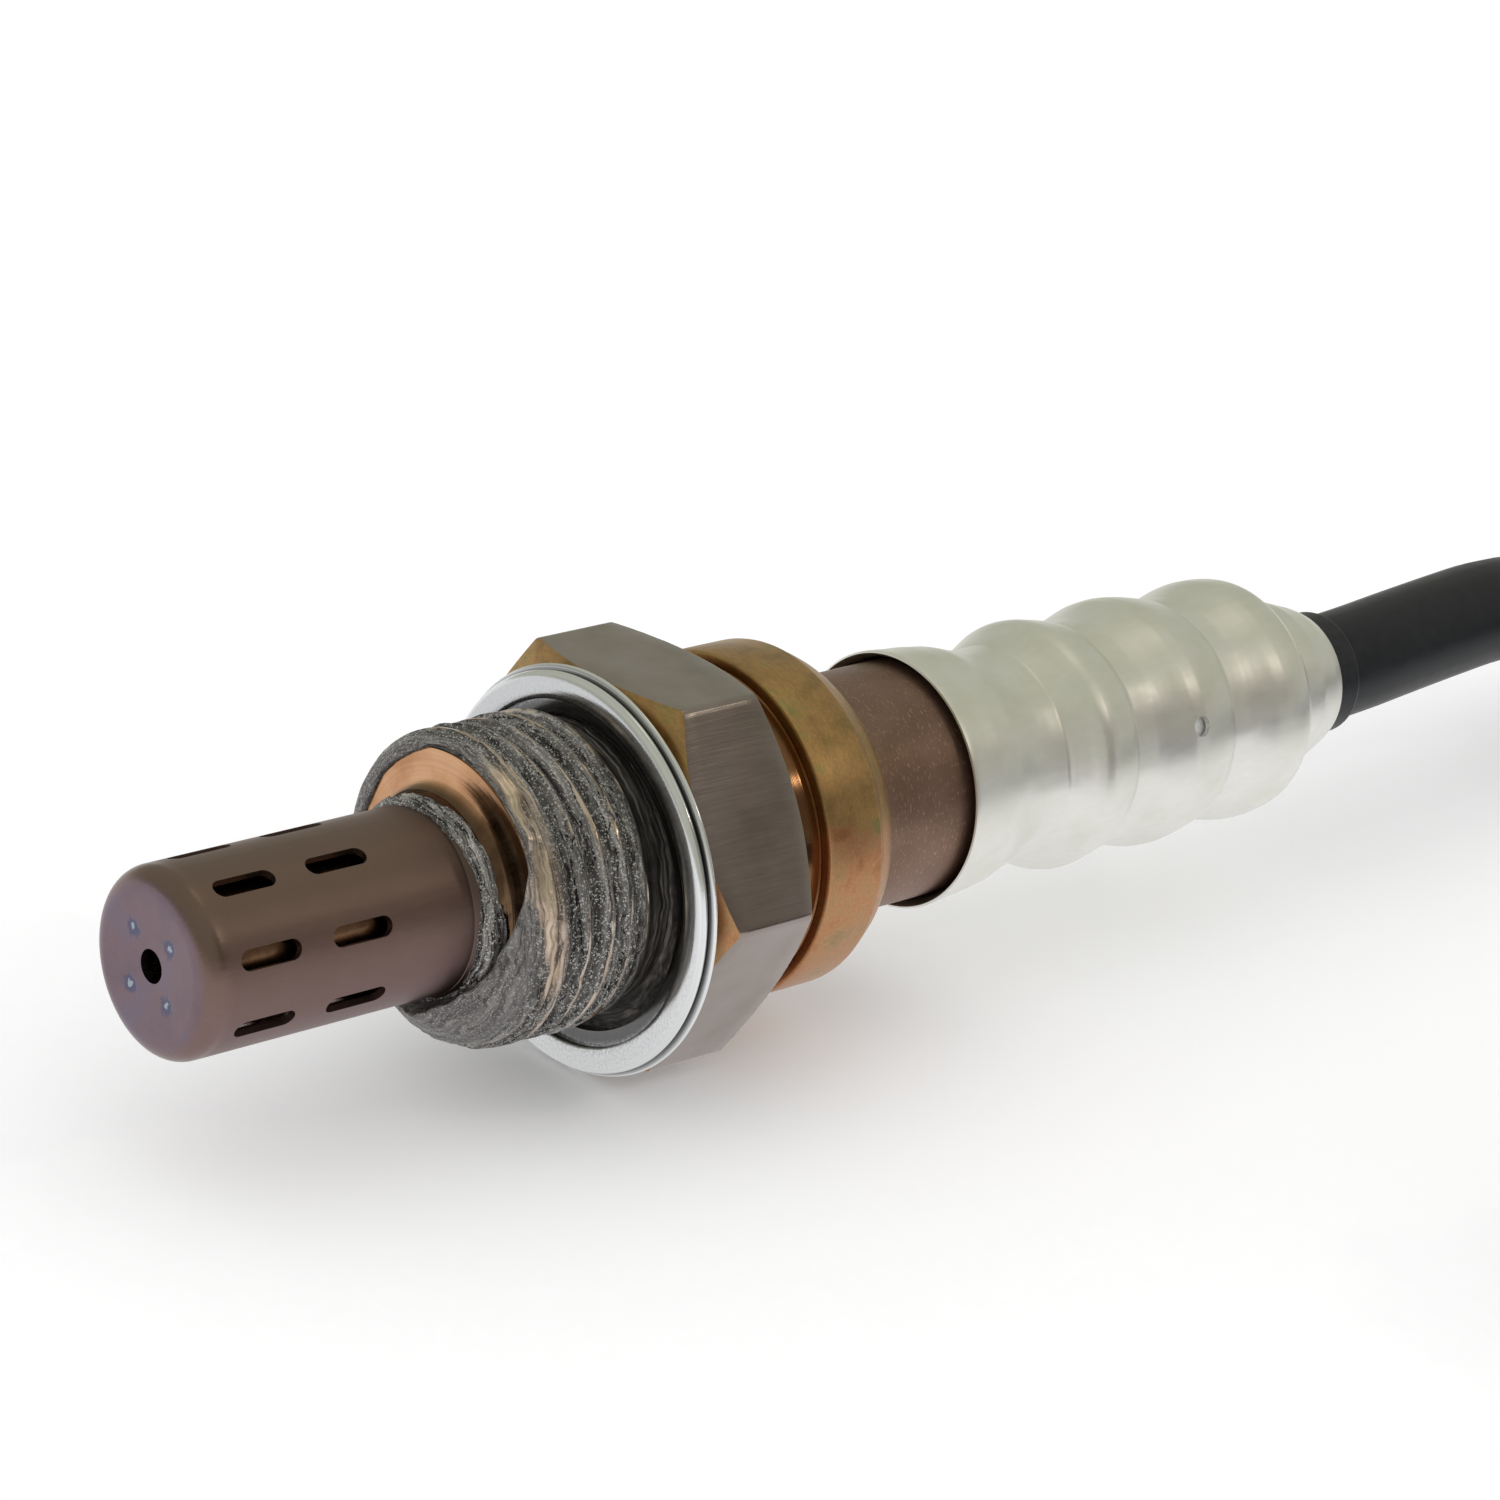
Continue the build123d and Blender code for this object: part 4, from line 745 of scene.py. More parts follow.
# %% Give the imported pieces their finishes
RECIPES = (
    (("moulded_fluorocarbon_rubber", "#16181b", "#1f2125", 0.0, 0.36, 0.5, 0.5, 0.02, 0.3),
     ("grommet", "connector_boot")),
    (("bronzed_liner_steel", "#6d5340", "#8d6c52", 1.0, 0.2, 0.32, 0.8, 0.01),
     ("inner_protection_tube", "element_washer", "crimp_ring")),
    (("moulded_grey_polyamide", "#4a4d52", "#54575c", 0.0, 0.4, 0.55, 0.25, 0.02),
     ("connector_housing",)),
    (("moulded_black_polyamide", "#1d1d1f", "#29292b", 0.0, 0.32, 0.45, 0.4, 0.02), ("coil_tie",)),
    (("stamped_brass", "#c9ab6a", "#d8bd80", 1.0, 0.22, 0.36, 0.4, 0.01),
     ("terminal_1", "terminal_2", "terminal_3", "terminal_4")),
    (("moulded_white_polyester", "#d9d9d4", "#e5e5e1", 0.0, 0.38, 0.5, 0.3, 0.02),
     ("terminal_retainer",)),
    (("orange_silicone", "#b5562c", "#c26336", 0.0, 0.4, 0.55, 0.5, 0.02), ("connector_seal",)),
    (("fired_zirconia", "#dcd8cc", "#ece8de", 0.0, 0.4, 0.55, 0.3, 0.01), ("zirconia_element",)),
    (("fired_alumina", "#dfddd6", "#efeee9", 0.0, 0.45, 0.6, 0.3, 0.01),
     ("heater_rod", "insulator_sleeve")),
    (("fired_steatite", "#d5cdb9", "#e2dbca", 0.0, 0.5, 0.65, 0.4, 0.02), ("contact_holder",)),
    (("pressed_talc", "#c9c8c2", "#dadad5", 0.0, 0.75, 0.9, 0.3, 0.05), ("powder_packing",)),
    (("sprung_nickel_strip", "#a9a595", "#c2beb0", 1.0, 0.25, 0.4, 0.5, 0.01),
     ("ground_contact", "signal_contact", "heater_contact_1", "heater_contact_2")),
    (("grey_wire_sleeve", "#808386", "#8d9093", 0.0, 0.4, 0.5, 0.5, 0.01), ("wire_1",)),
    (("black_wire_sleeve", "#1f2022", "#2b2c2e", 0.0, 0.4, 0.5, 0.5, 0.01), ("wire_2",)),
    (("white_wire_sleeve", "#d9d9d5", "#e6e6e2", 0.0, 0.4, 0.5, 0.5, 0.01), ("wire_3", "wire_4")))
packed_finishes = [(tube_finish, ("outer_protection_tube",)), (sleeve_finish, ("inner_sleeve",))]
packed_finishes += [(grained_finish(*recipe), names) for recipe, names in RECIPES]
for material, names in packed_finishes:
    for name in names:
        for slot in nodes[name].material_slots:
            slot.material = material
jacket_finish = grained_finish(
    "black_rubber_jacket", "#14161a", "#1b1d21", 0.0, 0.36, 0.5, 0.9, 0.02, gloss=0.22)
ptfe_finish = grained_finish("porous_ptfe", "#e3e3df", "#f1f1ee", 0.0, 0.5, 0.65, 0.2, 0.02)
lead.data.materials.append(jacket_finish)
print("kinds of packed pieces with a finish:", len(packed_finishes))

# %% [markdown]
# ## The shell
# One steel forging, turned and threaded. Its outline is a list of stations and radii, and each angle
# round the axis gets its own copy of it, so the six flats and the thread grow out of the same grid.
# Columns crowd together at the hexagon's corners, where the shape changes fast.

# %% Columns round the shell
corner_columns = np.linspace(29.2, 30, 4)
flat_columns = np.linspace(-29, 29, 57)
one_flat = np.concatenate([-corner_columns[::-1], flat_columns, corner_columns[:-1]])
shell_angle = np.radians((one_flat[None, :] + 60 * np.arange(6)[:, None]).reshape(1, -1))
print("columns round the shell:", shell_angle.size)

# %% [markdown]
# The thread is M18 by 1.5. Its phase runs along the axis and round it, one pitch a turn, and the
# radius falls off at 30 degrees on both sides of each crest down to a flat root.

# %% The thread's radius
THREAD_RADIUS = 9.0
THREAD_FACE = 19.4
THREAD_END = 26.2
RELIEF_RADIUS = 8.25
CREST_HALF = 0.12
FLANK_FALL = 1.732
THREAD_DEPTH = 0.87


def thread_radius(station, angle):
    """The crest less the flank's fall, at most the thread's depth, under chamfer and run-out."""
    phase = (station / THREAD_PITCH + angle / (2 * np.pi) + THREAD_TURN + 0.5) % 1
    from_crest = np.abs(phase - 0.5) * THREAD_PITCH
    thread = THREAD_RADIUS - np.clip((from_crest - CREST_HALF) * FLANK_FALL, 0, THREAD_DEPTH)
    chamfer = THREAD_RADIUS - 0.9 + (station - THREAD_FACE)
    run_out = np.maximum(THREAD_RADIUS - (station - THREAD_END), RELIEF_RADIUS)
    thread = np.maximum(thread, np.where(station > THREAD_END, RELIEF_RADIUS, 0))
    return np.minimum(np.minimum(thread, chamfer), run_out)


# %% [markdown]
# The hexagon's radius follows the flats: half its width over the cosine of the angle from the middle
# of the flat, with rounded corners. The cone that bevels the hexagon meets the flats in curves, so
# the flats start further back at the corners. A small uneven notch softens that edge.

# %% The hexagon's radius
HEX_SEAT = 29.0
HEX_REAR = 36.8
HEX_HALF_WIDTH = 11.0
HEX_FACE_RADIUS = 10.5
CORNER_ROUND = 0.5
from_flat = (shell_angle + np.pi / 6) % (np.pi / 3) - np.pi / 6
from_corner = np.pi / 6 - np.abs(from_flat)
round_centre = (HEX_HALF_WIDTH - CORNER_ROUND) / math.cos(math.pi / 6)
beside_corner = round_centre * np.sin(from_corner)
rounded = (
    round_centre * np.cos(from_corner)
    + np.sqrt(np.clip(CORNER_ROUND ** 2 - beside_corner ** 2, 0, None)))
hex_radius = np.where(beside_corner < CORNER_ROUND / 2, rounded, HEX_HALF_WIDTH / np.cos(from_flat))
corner_inset = (hex_radius - HEX_FACE_RADIUS) * math.tan(math.radians(30))
notch = 0.05 + 0.03 * smooth_noise(0.5, shell_angle / (2 * np.pi), 2, 300, 11)
print("hexagon's radius from", round(hex_radius.min(), 2), "to", round(hex_radius.max(), 2), "mm")

# %% [markdown]
# Each row of the shell's grid is a ring of stations and radii. Turned rings repeat one pair, thread
# rings call the thread's function, and the hexagon's rings change station as well as radius.

# %% The shell's rings
def rings(stations, radii, finish):
    """Rings of the shell, one for each station and radius, with the finish of the faces behind."""
    ring_station = np.broadcast_to(stations, (len(stations), shell_angle.size))
    ring_radius = np.broadcast_to(radii, (len(stations), shell_angle.size))
    return ring_station, ring_radius, np.full(ring_station.shape, finish)


def turned_rings(finish, *rows):
    """Rings with one station and one radius each."""
    stations, radii = np.array(rows, dtype=float).T[:, :, None]
    return rings(stations, radii, finish)


# The fifth finish is the paste's, which paints shade on the relief behind the thread.
BRONZE, FLATS, COPPER, BROWN, SHADED_RELIEF = range(5)
thread_station = np.linspace(THREAD_FACE + 0.05, THREAD_END + 0.8, 104).reshape(-1, 1)
flat_front = HEX_SEAT + corner_inset
flat_rear = HEX_REAR - corner_inset
flat_station = flat_front + notch + (flat_rear - flat_front - 2 * notch) * (
    np.linspace(0, 1, 7).reshape(-1, 1))
shell_parts = [
    turned_rings(BROWN, (17.4, 5.37), (17.43, 5.42), (18.1, 5.72), (18.25, 5.76)),
    turned_rings(
        COPPER, (18.6, 5.75), (18.75, 5.77), (18.88, 5.82), (19.02, 5.92), (19.16, 6.08),
        (19.27, 6.28), (19.35, 6.52), (19.39, 6.75), (19.4, 6.95), (19.4, 7.5), (19.41, 8.0)),
    rings(thread_station, thread_radius(thread_station, shell_angle), BRONZE),
    turned_rings(SHADED_RELIEF, (27.3, 8.25), (28.0, 8.25), (28.85, 8.28), (28.98, 8.42), (29.0, 9.0)),
    turned_rings(BRONZE, (29.0, 10.3), (29.0, 10.5)),
    rings(flat_front - notch * 0.6, hex_radius - notch, BRONZE),
    rings(flat_front - notch * 0.1, hex_radius - notch * 0.25, FLATS),
    rings(flat_station, hex_radius, FLATS),
    rings(flat_rear - notch * 0.1, hex_radius - notch * 0.25, BRONZE),
    rings(flat_rear + notch * 0.6, hex_radius - notch, BRONZE),
    turned_rings(
        BRONZE, (36.8, 10.5), (36.8, 9.8), (36.8, 9.5), (36.9, 9.4), (38.0, 9.4), (38.9, 9.42),
        (38.98, 9.52), (39.0, 9.8), (39.0, 9.97), (39.03, 10.1), (39.1, 10.19), (39.25, 10.23),
        (41.0, 10.23), (42.9, 10.22), (43.08, 10.18), (43.2, 10.07), (43.5, 9.93), (43.9, 9.72),
        (44.4, 9.42), (44.8, 9.12), (45.05, 8.88), (45.22, 8.62), (45.3, 8.3), (45.3, 7.5),
        (45.25, 7.25), (44.3, 7.23), (44.3, 7.87), (31.55, 7.87), (30.0, 6.32), (20.4, 6.32),
        (20.4, 5.37))]
shell_station, shell_radius, shell_finish = (
    np.concatenate([part[k] for part in shell_parts]) for k in range(3))
print("rings of the shell:", len(shell_station))

# %% [markdown]
# One mesh carries all of the forging's finishes: each face of the grid names its own, so the mesh
# needs no cut where a turned surface meets a flat or a tinted one.

# %% Make the shell
shell = grid_object(
    "sensor_shell", around(shell_station, shell_radius, shell_angle), close_rows=True,
    materials=(bronze_finish, flats_finish, nose_finish, tube_finish, thread_finish),
    face_finish=shell_finish)
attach(shell, "root")
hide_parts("shell")

# %% [markdown]
# ## The paste
# The brush laid a thin skin over the whole thread. It stands a little over each crest, fills most of
# each valley, and its streaks wander round the turns. Its finish says where the crests show through.

# %% Paste on the thread
PASTE_LENGTH = 9
PASTE_REAR = 27.9
VALLEY_DEPTH = 0.46
CREST_RISE = 0.52
SEAM_PHASES = (0.24, 0.66)
SEAM_WIDTH = 0.045
paste_angle = full_turn(500, -np.pi)
paste_station = np.linspace(THREAD_FACE + 0.06, 28.3, 190).reshape(-1, 1)
paste_degrees = np.degrees(paste_angle)
turn_share = paste_angle / (2 * np.pi)
along = (paste_station - THREAD_FACE) / PASTE_LENGTH
drift = 0.14 * smooth_noise(along, turn_share, 6, 14, 25)
phase = (paste_station + drift) / THREAD_PITCH + turn_share + THREAD_TURN
on_crest = 0.5 + 0.5 * np.cos(2 * np.pi * phase)
seam_drift = 0.09 * smooth_noise(along, turn_share, 7, 12, 37)
seam_mask = np.clip(0.5 + 1.6 * smooth_noise(along, turn_share, 8, 7, 38), 0, 1)
seam = sum(
    np.exp(-(((phase - at + seam_drift + 0.5) % 1 - 0.5) / SEAM_WIDTH) ** 2) for at in SEAM_PHASES)
smear = layered_noise(
    along, turn_share, (0.11, 9, 9, 21), (0.11, 34, 16, 22), (0.05, 66, 50, 23), (0.02, 80, 170, 24))
wiped = np.clip((20.9 - paste_station) / 0.5, 0, 1) * np.exp(-((paste_angle + 1.02) / 0.7) ** 2)
streaked = (smear - 0.2 * seam * seam_mask) * (1 - 0.7 * wiped)
level = THREAD_RADIUS - VALLEY_DEPTH + CREST_RISE * on_crest ** 0.8 + streaked
level = np.maximum(level, thread_radius(paste_station, paste_angle) + 0.02)
front_edge = np.clip((paste_station - THREAD_FACE) / 0.85, 0, 1)
level = np.minimum(level, 8.15 + 0.9 * front_edge + 0.5 * smear)
rear_edge = eased(np.clip((PASTE_REAR - paste_station) / 1.5, 0, 1))
thin = RELIEF_RADIUS + 0.05 + 0.3 * np.clip(smear, -0.12, 1)
level = thin + (level - thin) * rear_edge
thread_paste = grid_object(
    "thread_paste", around(paste_station, level, paste_angle), materials=(thread_finish,), sharp=60)
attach(thread_paste, "root")

# %% [markdown]
# A bead of paste sits in the corner between the tube and the nose. Its front and rear edges wander,
# and here they are given every so many degrees round the axis. The bead is thickest low down on the
# side where the brush left the thread.

# %% Paste round the tube
BEAD_ANGLES = (-180, -140, -125, -110, -98, -84, -69, -54, -38, -19, 6, 30, 65, 100, 140, 180)
BEAD_FRONT = (
    17.6, 17.65, 17.65, 17.62, 17.62, 17.65, 17.78, 17.8, 17.55, 17.38, 17.25, 17.2, 17.22, 17.25,
    17.4, 17.6)
BEAD_REAR = (
    18.6, 18.5, 18.5, 18.95, 19.12, 19.05, 18.68, 18.78, 18.62, 18.42, 17.95, 17.8, 17.9, 18.1,
    18.4, 18.6)
bead_across = np.linspace(0, 1, 36).reshape(-1, 1)
bead_edge = layered_noise(0.5, turn_share, (0.07, 2, 40, 26), (0.05, 2, 110, 27))
bead_front = np.interp(paste_degrees, BEAD_ANGLES, BEAD_FRONT) + bead_edge
bead_rear = np.interp(paste_degrees, BEAD_ANGLES, BEAD_REAR) - bead_edge
bead_station = bead_front + (bead_rear - bead_front) * bead_across
under = np.interp(bead_station, (17.4, 18.2, 19.4), (5.35, 5.74, 5.76))
bead_wide = np.clip(bead_rear - bead_front, 0.3, 1.4)
bead_rise = np.clip(bead_across / 0.12, 0, 1) * np.clip((1 - bead_across) / 0.1, 0, 1)
bead_folds = layered_noise(
    bead_across, turn_share, (0.1, 5, 11, 28), (0.05, 12, 40, 29), (0.025, 20, 120, 30))
bead_height = (0.06 + 0.22 * bead_wide + bead_folds) * np.sqrt(np.sin(bead_rise * np.pi / 2))
bead_radius = np.maximum(under, 5.36) + bead_height - 0.06 * (bead_rise < 0.01)
tube_paste = grid_object(
    "tube_paste", around(bead_station, bead_radius, paste_angle), materials=(paste_finish,), sharp=60)
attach(tube_paste, "root")

# %% [markdown]
# In front of the first turn the paste spills over the nose's face. Its inner edge is far out on top
# and comes in below, and there a lump of it dried, standing up to 3 mm off the face. Every angle has
# a section of seven points, from the inner edge over the lump to the first crest.

# %% Paste on the nose's face
SPILL_ANGLES = (
    -180, -165, -150, -135, -120, -99, -81, -69, -59, -48, -38, -7, 6, 21, 37, 65, 110, 150, 180)
SPILL_INNER = (
    6.0, 5.75, 5.6, 5.75, 5.9, 6.15, 6.85, 7.65, 8.25, 8.6, 8.5, 8.5, 8.35, 8.0, 7.75, 7.35, 7.1,
    6.6, 6.0)
LUMP_HEIGHT = (
    2.3, 2.9, 3.2, 2.6, 1.7, 0.95, 0.4, 0.2, 0.06, 0.04, 0.05, 0.06, 0.08, 0.1, 0.1, 0.14, 0.3, 1.0,
    2.3)
spill_edge = layered_noise(0.5, turn_share, (0.1, 2, 30, 31), (0.06, 2, 100, 32))
inner = (np.interp(paste_degrees, SPILL_ANGLES, SPILL_INNER) + spill_edge)[0]
lump = np.interp(paste_degrees, SPILL_ANGLES, LUMP_HEIGHT)[0]
lump = lump * (1 + 0.12 * smooth_noise(0.5, turn_share, 2, 26, 33)[0])
even = np.zeros_like(inner)
section_station = np.stack([
    even + 19.5, 19.36 - lump * 0.55, 19.3 - lump, 19.28 - lump * 0.28, 19.55 + even, 20.3 + even,
    20.7 + even])
section_radius = np.stack([
    inner, inner + 0.04, inner + 0.12 + 0.3 * np.minimum(lump, 1), np.maximum(8.15, inner + 0.3),
    np.maximum(8.55, inner + 0.35), 8.97 + even, 8.6 + even])
spill_row = np.linspace(0, 5.999, 90)
piece_of = spill_row.astype(int)
within = (spill_row - piece_of).reshape(-1, 1)
spill_station, spill_radius = (
    points[piece_of] * (1 - within) + points[piece_of + 1] * within
    for points in (section_station, section_radius))
spill_share = (spill_row / 6).reshape(-1, 1)
spill_rough = layered_noise(
    spill_share, turn_share, (0.1, 8, 24, 34), (0.06, 20, 60, 35), (0.03, 36, 160, 36))
spill_rough = spill_rough * np.clip(lump, 0.25, 1) * np.clip(spill_share * 8, 0, 1)
face_paste = grid_object(
    "face_paste", around(spill_station - spill_rough, spill_radius + 0.5 * spill_rough, paste_angle),
    materials=(thread_finish,), sharp=60)
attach(face_paste, "root")

# %% [markdown]
# ## The gasket
# A folded steel ring, loose on the relief behind the thread. It hangs a little low, so it is
# revolved about an axis of its own. Its section is traced once round: front fold, groove, rear fold.

# %% Gasket
gasket_section = np.array([
    (28.44, 9.98), (28.2, 9.96), (28.08, 10.04), (28.02, 10.16), (28.0, 10.34), (27.98, 10.7),
    (28.0, 11.0), (28.06, 11.24), (28.14, 11.4), (28.25, 11.5), (28.4, 11.56), (28.52, 11.54),
    (28.6, 11.48), (28.66, 11.38), (28.7, 11.36), (28.735, 11.42), (28.745, 11.6), (28.78, 11.75),
    (28.84, 11.83), (28.92, 11.85), (28.98, 11.83), (29.0, 11.75), (29.0, 10.5), (29.0, 9.2),
    (28.96, 9.11), (28.8, 9.1), (28.55, 9.1), (28.46, 9.13), (28.44, 9.22), (28.44, 9.6)])
gasket_station, gasket_radius = gasket_section.T[:, :, None]
gasket_angle = full_turn(288)
wander = 0.02 * smooth_noise(0.5, gasket_angle / (2 * np.pi), 2, 9, 41)
off_bore = gasket_radius > 9.5
gasket_ring = grid_object(
    "sealing_gasket",
    around(gasket_station, gasket_radius + wander * off_bore, gasket_angle, GASKET_SHIFT),
    close_rows=True, materials=(gasket_finish,), sharp=50)
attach(gasket_ring, "root")
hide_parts("gasket")

# %% [markdown]
# ## The cover
# A drawn cup, slid over the sleeve and crimped in three places by a tool with eight jaws. Each crimp
# is a narrow band with a sharp crease at its edge. The outline is a list of stations and radii. It
# is spaced evenly and smoothed before it is revolved, so the listed points don't show as corners.

# %% The cover's outline
cover_outline = np.array([
    (52.9, 7.66), (52.92, 7.76), (53.0, 7.79), (53.3, 7.77), (54.5, 7.64), (55.5, 7.56), (56.5, 7.42),
    (57.1, 7.34), (57.6, 7.18), (58.2, 6.98), (59.0, 6.78), (59.8, 6.66), (60.6, 6.61), (61.4, 6.61),
    (61.7, 6.6), (61.85, 6.68), (62.3, 6.86), (63.0, 7.16), (63.5, 7.4), (64.0, 7.62), (64.5, 7.71),
    (65.0, 7.68), (66.0, 7.48), (66.7, 7.32), (67.0, 7.2), (67.15, 7.05), (67.3, 7.06), (68.2, 7.06),
    (68.9, 7.09), (69.5, 7.18), (70.0, 7.29), (70.5, 7.42), (71.0, 7.56), (71.6, 7.7), (72.5, 7.76),
    (73.2, 7.68), (74.0, 7.53), (75.0, 7.31), (75.45, 7.2), (75.6, 7.04), (75.75, 7.05), (76.5, 7.05),
    (77.1, 7.07), (77.8, 7.17), (78.5, 7.31), (79.2, 7.47), (80.0, 7.58), (80.8, 7.56), (81.6, 7.48),
    (82.1, 7.36), (82.5, 7.1), (82.9, 6.6), (83.3, 6.05), (83.6, 5.72), (83.8, 5.6), (84.1, 5.58),
    (84.9, 5.52), (85.7, 5.4), (86.4, 5.15), (87.0, 4.95), (87.6, 4.76), (88.0, 4.58), (88.35, 4.44),
    (88.42, 4.3)])
CRIMPS = (60.2, 68.0, 76.3)
CRIMP_SPANS = (1.9, 1.1, 1.1)
GAP_ANGLES = (-44, -45, -37)
JAWS = 8
COVER_FRONT = 52.9
COVER_LENGTH = 36
COVER_WALL = 0.36


def rounded_outline(outline, count):
    """Points evenly along the outline, after one pass that averages each with its neighbours."""
    run = np.concatenate([[0], np.cumsum(np.hypot(*np.diff(outline, axis=0).T))])
    even = np.linspace(0, run[-1], count)
    line = np.stack([np.interp(even, run, outline[:, k]) for k in (0, 1)], axis=1)
    line[2:-2] = (line[1:-3] + 2 * line[2:-2] + line[3:-1]) / 4
    return line


cover_line = rounded_outline(cover_outline, 300)
print("points of the cover's outline:", len(cover_line))

# %% [markdown]
# The jaws leave flats round the cup, with small ridges between them, and the flats carry on faintly
# over the soft bulges. Each crimp is a change of radius that fades out along the cup.

# %% Press the crimps and make the cover
cover_angle = full_turn(288)
cover_share = cover_angle / (2 * np.pi)
outer_station, outer_radius = cover_line.T[:, :, None]
for crimp, span, gap_angle in zip(CRIMPS, CRIMP_SPANS, GAP_ANGLES):
    from_gap = (JAWS * (cover_share - gap_angle / 360) + 0.5) % 1 - 0.5
    in_gap = np.clip(1 - np.abs(from_gap) / 0.2, 0, 1)
    band = np.exp(-((outer_station - crimp) / span) ** 6)
    wide = np.exp(-((outer_station - crimp) / (span + 2.2)) ** 4)
    outer_radius = outer_radius + band * (0.035 * eased(in_gap) - 0.01)
    outer_radius = outer_radius + wide * 0.018 * np.cos(2 * np.pi * from_gap)
away = np.clip((outer_station - 54) / 3, 0, 1) * np.clip((88 - outer_station) / 2, 0, 1)
along_cover = (outer_station - COVER_FRONT) / COVER_LENGTH
ripple = layered_noise(along_cover, cover_share, (0.035, 9, 9, 51), (0.012, 24, 26, 52))
outer_radius = outer_radius + ripple * away
inner_station, inner_radius = cover_line[::-6].T[:, :, None]
cover = grid_object(
    "crimped_cover",
    np.concatenate([
        around(outer_station, outer_radius, cover_angle),
        around(inner_station, inner_radius - COVER_WALL, cover_angle)]),
    close_rows=True, materials=(cover_finish,), sharp=45)

# %% [markdown]
# Two small vents are punched through the middle bulge. The drills for them are taken away from the
# cover, and then they are deleted.

# %% Punch the vents
VENT_STATION = 72.1
VENT_RADIUS = 0.62
VENT_ANGLES = (-71.8, 108.2)
DRILL_DEPTH = 2
DRILL_REACH = 7.6
drills_mesh = bpy.data.meshes.new("drills")
drills_form = bmesh.new()
for vent_angle in VENT_ANGLES:
    turn = Matrix.Rotation(-math.radians(vent_angle), 4, "X")
    at = Matrix.Translation((TIP_X + VENT_STATION * MM, 0, AXIS_Z))
    bmesh.ops.create_cone(
        drills_form, cap_ends=True, segments=32, radius1=VENT_RADIUS * MM, radius2=VENT_RADIUS * MM,
        depth=DRILL_DEPTH * MM, matrix=at @ turn @ Matrix.Translation((0, 0, DRILL_REACH * MM)))
drills_form.to_mesh(drills_mesh)
drills_form.free()
drills = link_object("drills", drills_mesh)
punch = cover.modifiers.new("punch", "BOOLEAN")
punch.object = drills
punch.operation = "DIFFERENCE"
punched = bpy.data.meshes.new_from_object(cover.evaluated_get(bpy.context.evaluated_depsgraph_get()))
cover.modifiers.clear()
cover.data = punched
bpy.data.objects.remove(drills)
print("cover with vents has", len(punched.polygons), "faces")
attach(cover, "root")
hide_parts("outer_cover")

# %% [markdown]
# The filter is a tube of porous white film between the sleeve and the cover. It swells into the
# cover's bulges, so white film shows in each vent.

# %% Filter behind the vents
FILM_ENDS = (66.9, 77.9)
FILM_BORE = 6.05
FILM_GAP = 0.3
film_station = np.linspace(*FILM_ENDS, 60)
film_radius = np.interp(film_station, *cover_line.T) - COVER_WALL - FILM_GAP
film_station = np.append(film_station, FILM_ENDS[::-1])
film_radius = np.append(film_radius, (FILM_BORE, FILM_BORE))
film = grid_object(
    "filter_film", around(film_station[:, None], film_radius[:, None], full_turn(96)),
    close_rows=True, materials=(ptfe_finish,), sharp=45)
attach(film, "root")
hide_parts("filter_tube")

# %% [markdown]
# ## Camera, floor and light
# The sensor lies on a white table under soft studio light. A long lens looks at it from the tip's
# side and a little above.

# %% Camera
CAMERA_FROM_TIP = Vector((-141.5952, -192.1208, 110.6166))
CAMERA_RIGHT = Vector((0.74638561, -0.65859992, 0.09568004))
CAMERA_UP = Vector((0.18088254, 0.33911214, 0.92319254))
camera_data = bpy.data.cameras.new("camera")
camera_data.lens = 119.306
camera_data.sensor_width = 36
camera_data.clip_start = 0.01
camera_data.clip_end = 20
camera = link_object("camera", camera_data)
camera_axes = (CAMERA_RIGHT, CAMERA_UP, CAMERA_RIGHT.cross(CAMERA_UP))
camera_turn = Matrix(camera_axes).transposed().to_4x4()
camera.matrix_world = Matrix.Translation(
    Vector((TIP_X, 0, AXIS_Z)) + CAMERA_FROM_TIP * MM) @ camera_turn
bpy.context.scene.camera = camera
print("camera at", [round(value, 4) for value in camera.location])

# %% [markdown]
# The table is a sheet of matt white card, far larger than the sensor, so no edge of it shows. To the
# eye the lit card is lifted to full white, and the soft shadow stays. What metal mirrors of it is
# mixed with plain white, never brighter than 1.

# %% Floor
FLOOR_HALF = 3.0


def to_the_eye(owner, ray):
    """1 for rays from the camera, straight or through clear things, and 0 for all others."""
    return add_node(owner, "Math", {
        0: ray.outputs["Is Camera Ray"], 1: ray.outputs["Is Transmission Ray"]}, operation="MAXIMUM")


card_finish, place = new_material("matt_white_card")
tooth = add_node(card_finish, "TexNoise", {"Vector": place, "Scale": 1.5, "Detail": 3.0})
tone = add_node(card_finish, "ValToRGB", {0: tooth}, stops=[(0.3, "#f7f7f7"), (0.7, "#fafafa")])
ray = add_node(card_finish, "LightPath")
matt = add_node(card_finish, "BsdfDiffuse", {"Color": tone})
lift = add_node(card_finish, "MapRange", {"Value": to_the_eye(card_finish, ray), "To Max": 0.1})
glow = add_node(card_finish, "Emission", {"Color": "#ffffff", "Strength": lift})
lit_card = add_node(card_finish, "AddShader", {0: matt, 1: glow})
white = add_node(card_finish, "Emission", {"Color": "#ffffff", "Strength": 1.0})
share = add_node(
    card_finish, "Math", {0: ray.outputs["Is Glossy Ray"], 1: 0.6}, operation="MULTIPLY")
both = add_node(card_finish, "MixShader", {0: share, 1: lit_card, 2: white})
add_node(card_finish, "OutputMaterial", {"Surface": both})
floor_mesh = bpy.data.meshes.new("table")
floor_mesh.from_pydata(
    [(-FLOOR_HALF, -FLOOR_HALF, 0), (FLOOR_HALF, -FLOOR_HALF, 0), (FLOOR_HALF, FLOOR_HALF, 0),
     (-FLOOR_HALF, FLOOR_HALF, 0)], [], [(0, 1, 2, 3)])
floor_mesh.materials.append(card_finish)
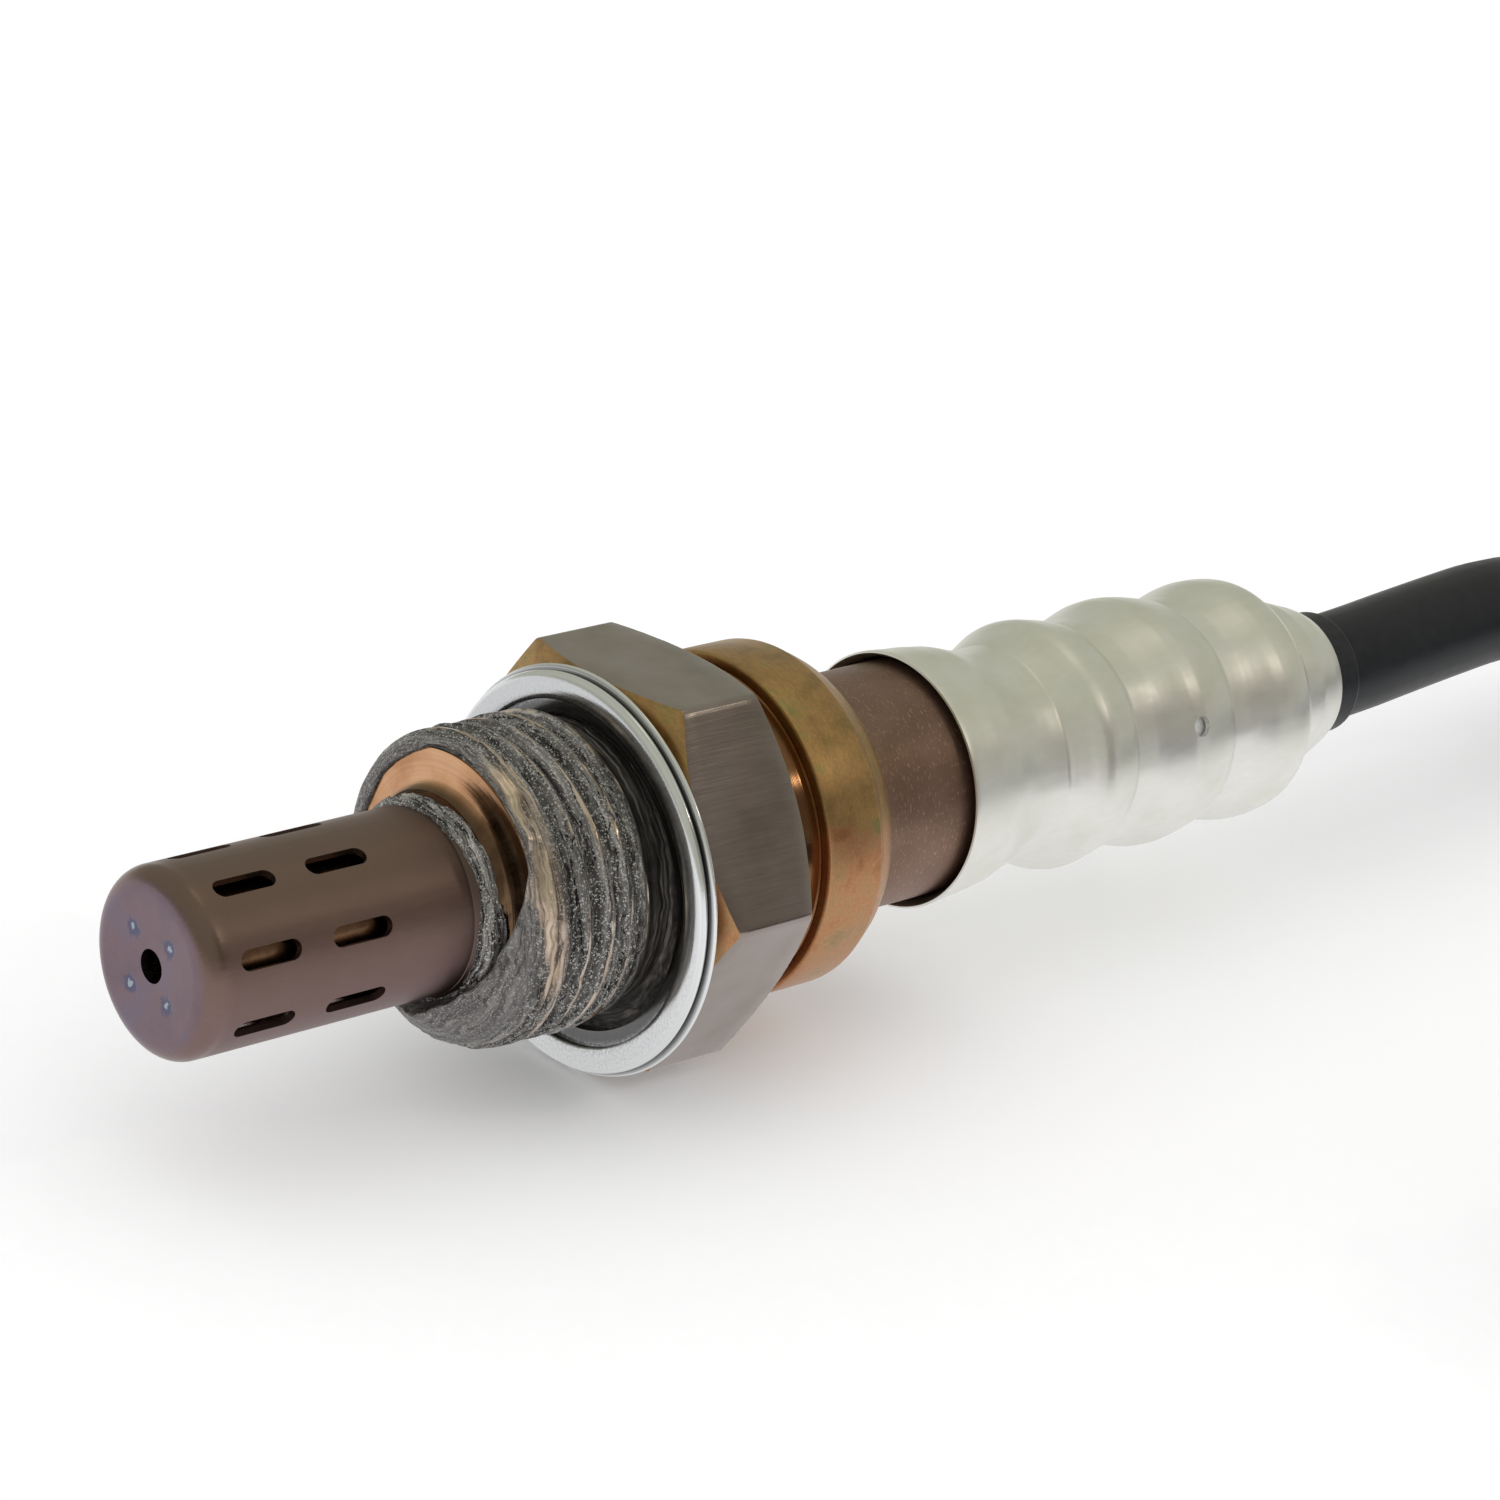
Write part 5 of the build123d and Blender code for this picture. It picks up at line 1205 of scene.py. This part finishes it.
floor = link_object("table", floor_mesh)

# %% [markdown]
# The studio is a plain white room, at a strength of 1, so colours come out as they are written. Only
# metal sees more: a white band along the horizon, a dimmer grey above it, a dark corner behind the
# camera, and two soft warm lights overhead. They give the turned surfaces their shape.

# %% Studio
world = bpy.data.worlds.new("studio")
world.use_nodes = True
world.node_tree.nodes.clear()
world.cycles.sampling_method = "NONE"
direction = add_node(world, "TexCoord").outputs["Generated"]
rise = add_node(world, "SeparateXYZ", {0: direction}).outputs["Z"]
room = add_node(
    world, "ValToRGB", {0: rise},
    stops=[(0.03, "#ffffff"), (0.085, "#b5b6aa"), (0.4, "#b7b8ab"), (0.9, "#bbbcaf")])


def spot(towards, inner, outer, strength=1.0):
    """Strength inside a cone of directions, fading between two half angles in degrees."""
    along = add_node(world, "VectorMath", {
        0: direction, 1: Vector(towards).normalized()}, operation="DOT_PRODUCT")
    return add_node(world, "MapRange", {
        "Value": along, "From Min": math.cos(math.radians(outer)),
        "From Max": math.cos(math.radians(inner)), "To Max": strength},
        interpolation_type="SMOOTHSTEP")


above_card = add_node(world, "MapRange", {"Value": rise, "From Min": 0.04, "From Max": 0.12})
dark_corner = add_node(world, "Math", {
    0: spot((0.47, -0.78, 0.42), 12, 32), 1: above_card}, operation="MULTIPLY")
dimmed = add_node(world, "Mix", {0: dark_corner, 6: room, 7: "#87817a"}, data_type="RGBA")
overhead = add_node(world, "Math", {
    0: spot((0.35, 0.08, 0.93), 5, 13), 1: spot((0.43, -0.53, 0.73), 5, 13, 0.45)},
    operation="MAXIMUM")
mirrored = add_node(world, "Mix", {0: overhead, 6: dimmed, 7: "#fffbe6"}, data_type="RGBA")
ray = add_node(world, "LightPath")
seen = add_node(world, "Mix", {
    0: ray.outputs["Is Glossy Ray"], 6: "#ffffff", 7: mirrored}, data_type="RGBA")
seen = add_node(world, "Mix", {
    0: to_the_eye(world, ray), 6: seen, 7: "#ffffff"}, data_type="RGBA")
background = add_node(world, "Background", {"Color": seen, "Strength": 1.0})
add_node(world, "OutputWorld", {"Surface": background})
bpy.context.scene.world = world
bpy.context.scene.view_settings.view_transform = "Standard"

# %% [markdown]
# One small bright lamp, to the right and above, makes the sparks in the paste and on the edges.

# %% Lamp
KEY_DIRECTION = Vector((0.56, -0.59, 0.58)).normalized()
KEY_DISTANCE = 0.9
key_data = bpy.data.lights.new("key_lamp", "AREA")
key_data.size = 0.05
key_data.energy = 0.25
key_data.color = (1.0, 0.94, 0.82)
key_lamp = link_object("key_lamp", key_data)
key_lamp.matrix_world = (
    Matrix.Translation(Vector((0, 0, AXIS_Z)) + KEY_DIRECTION * KEY_DISTANCE)
    @ KEY_DIRECTION.to_track_quat("Z", "Y").to_matrix().to_4x4())
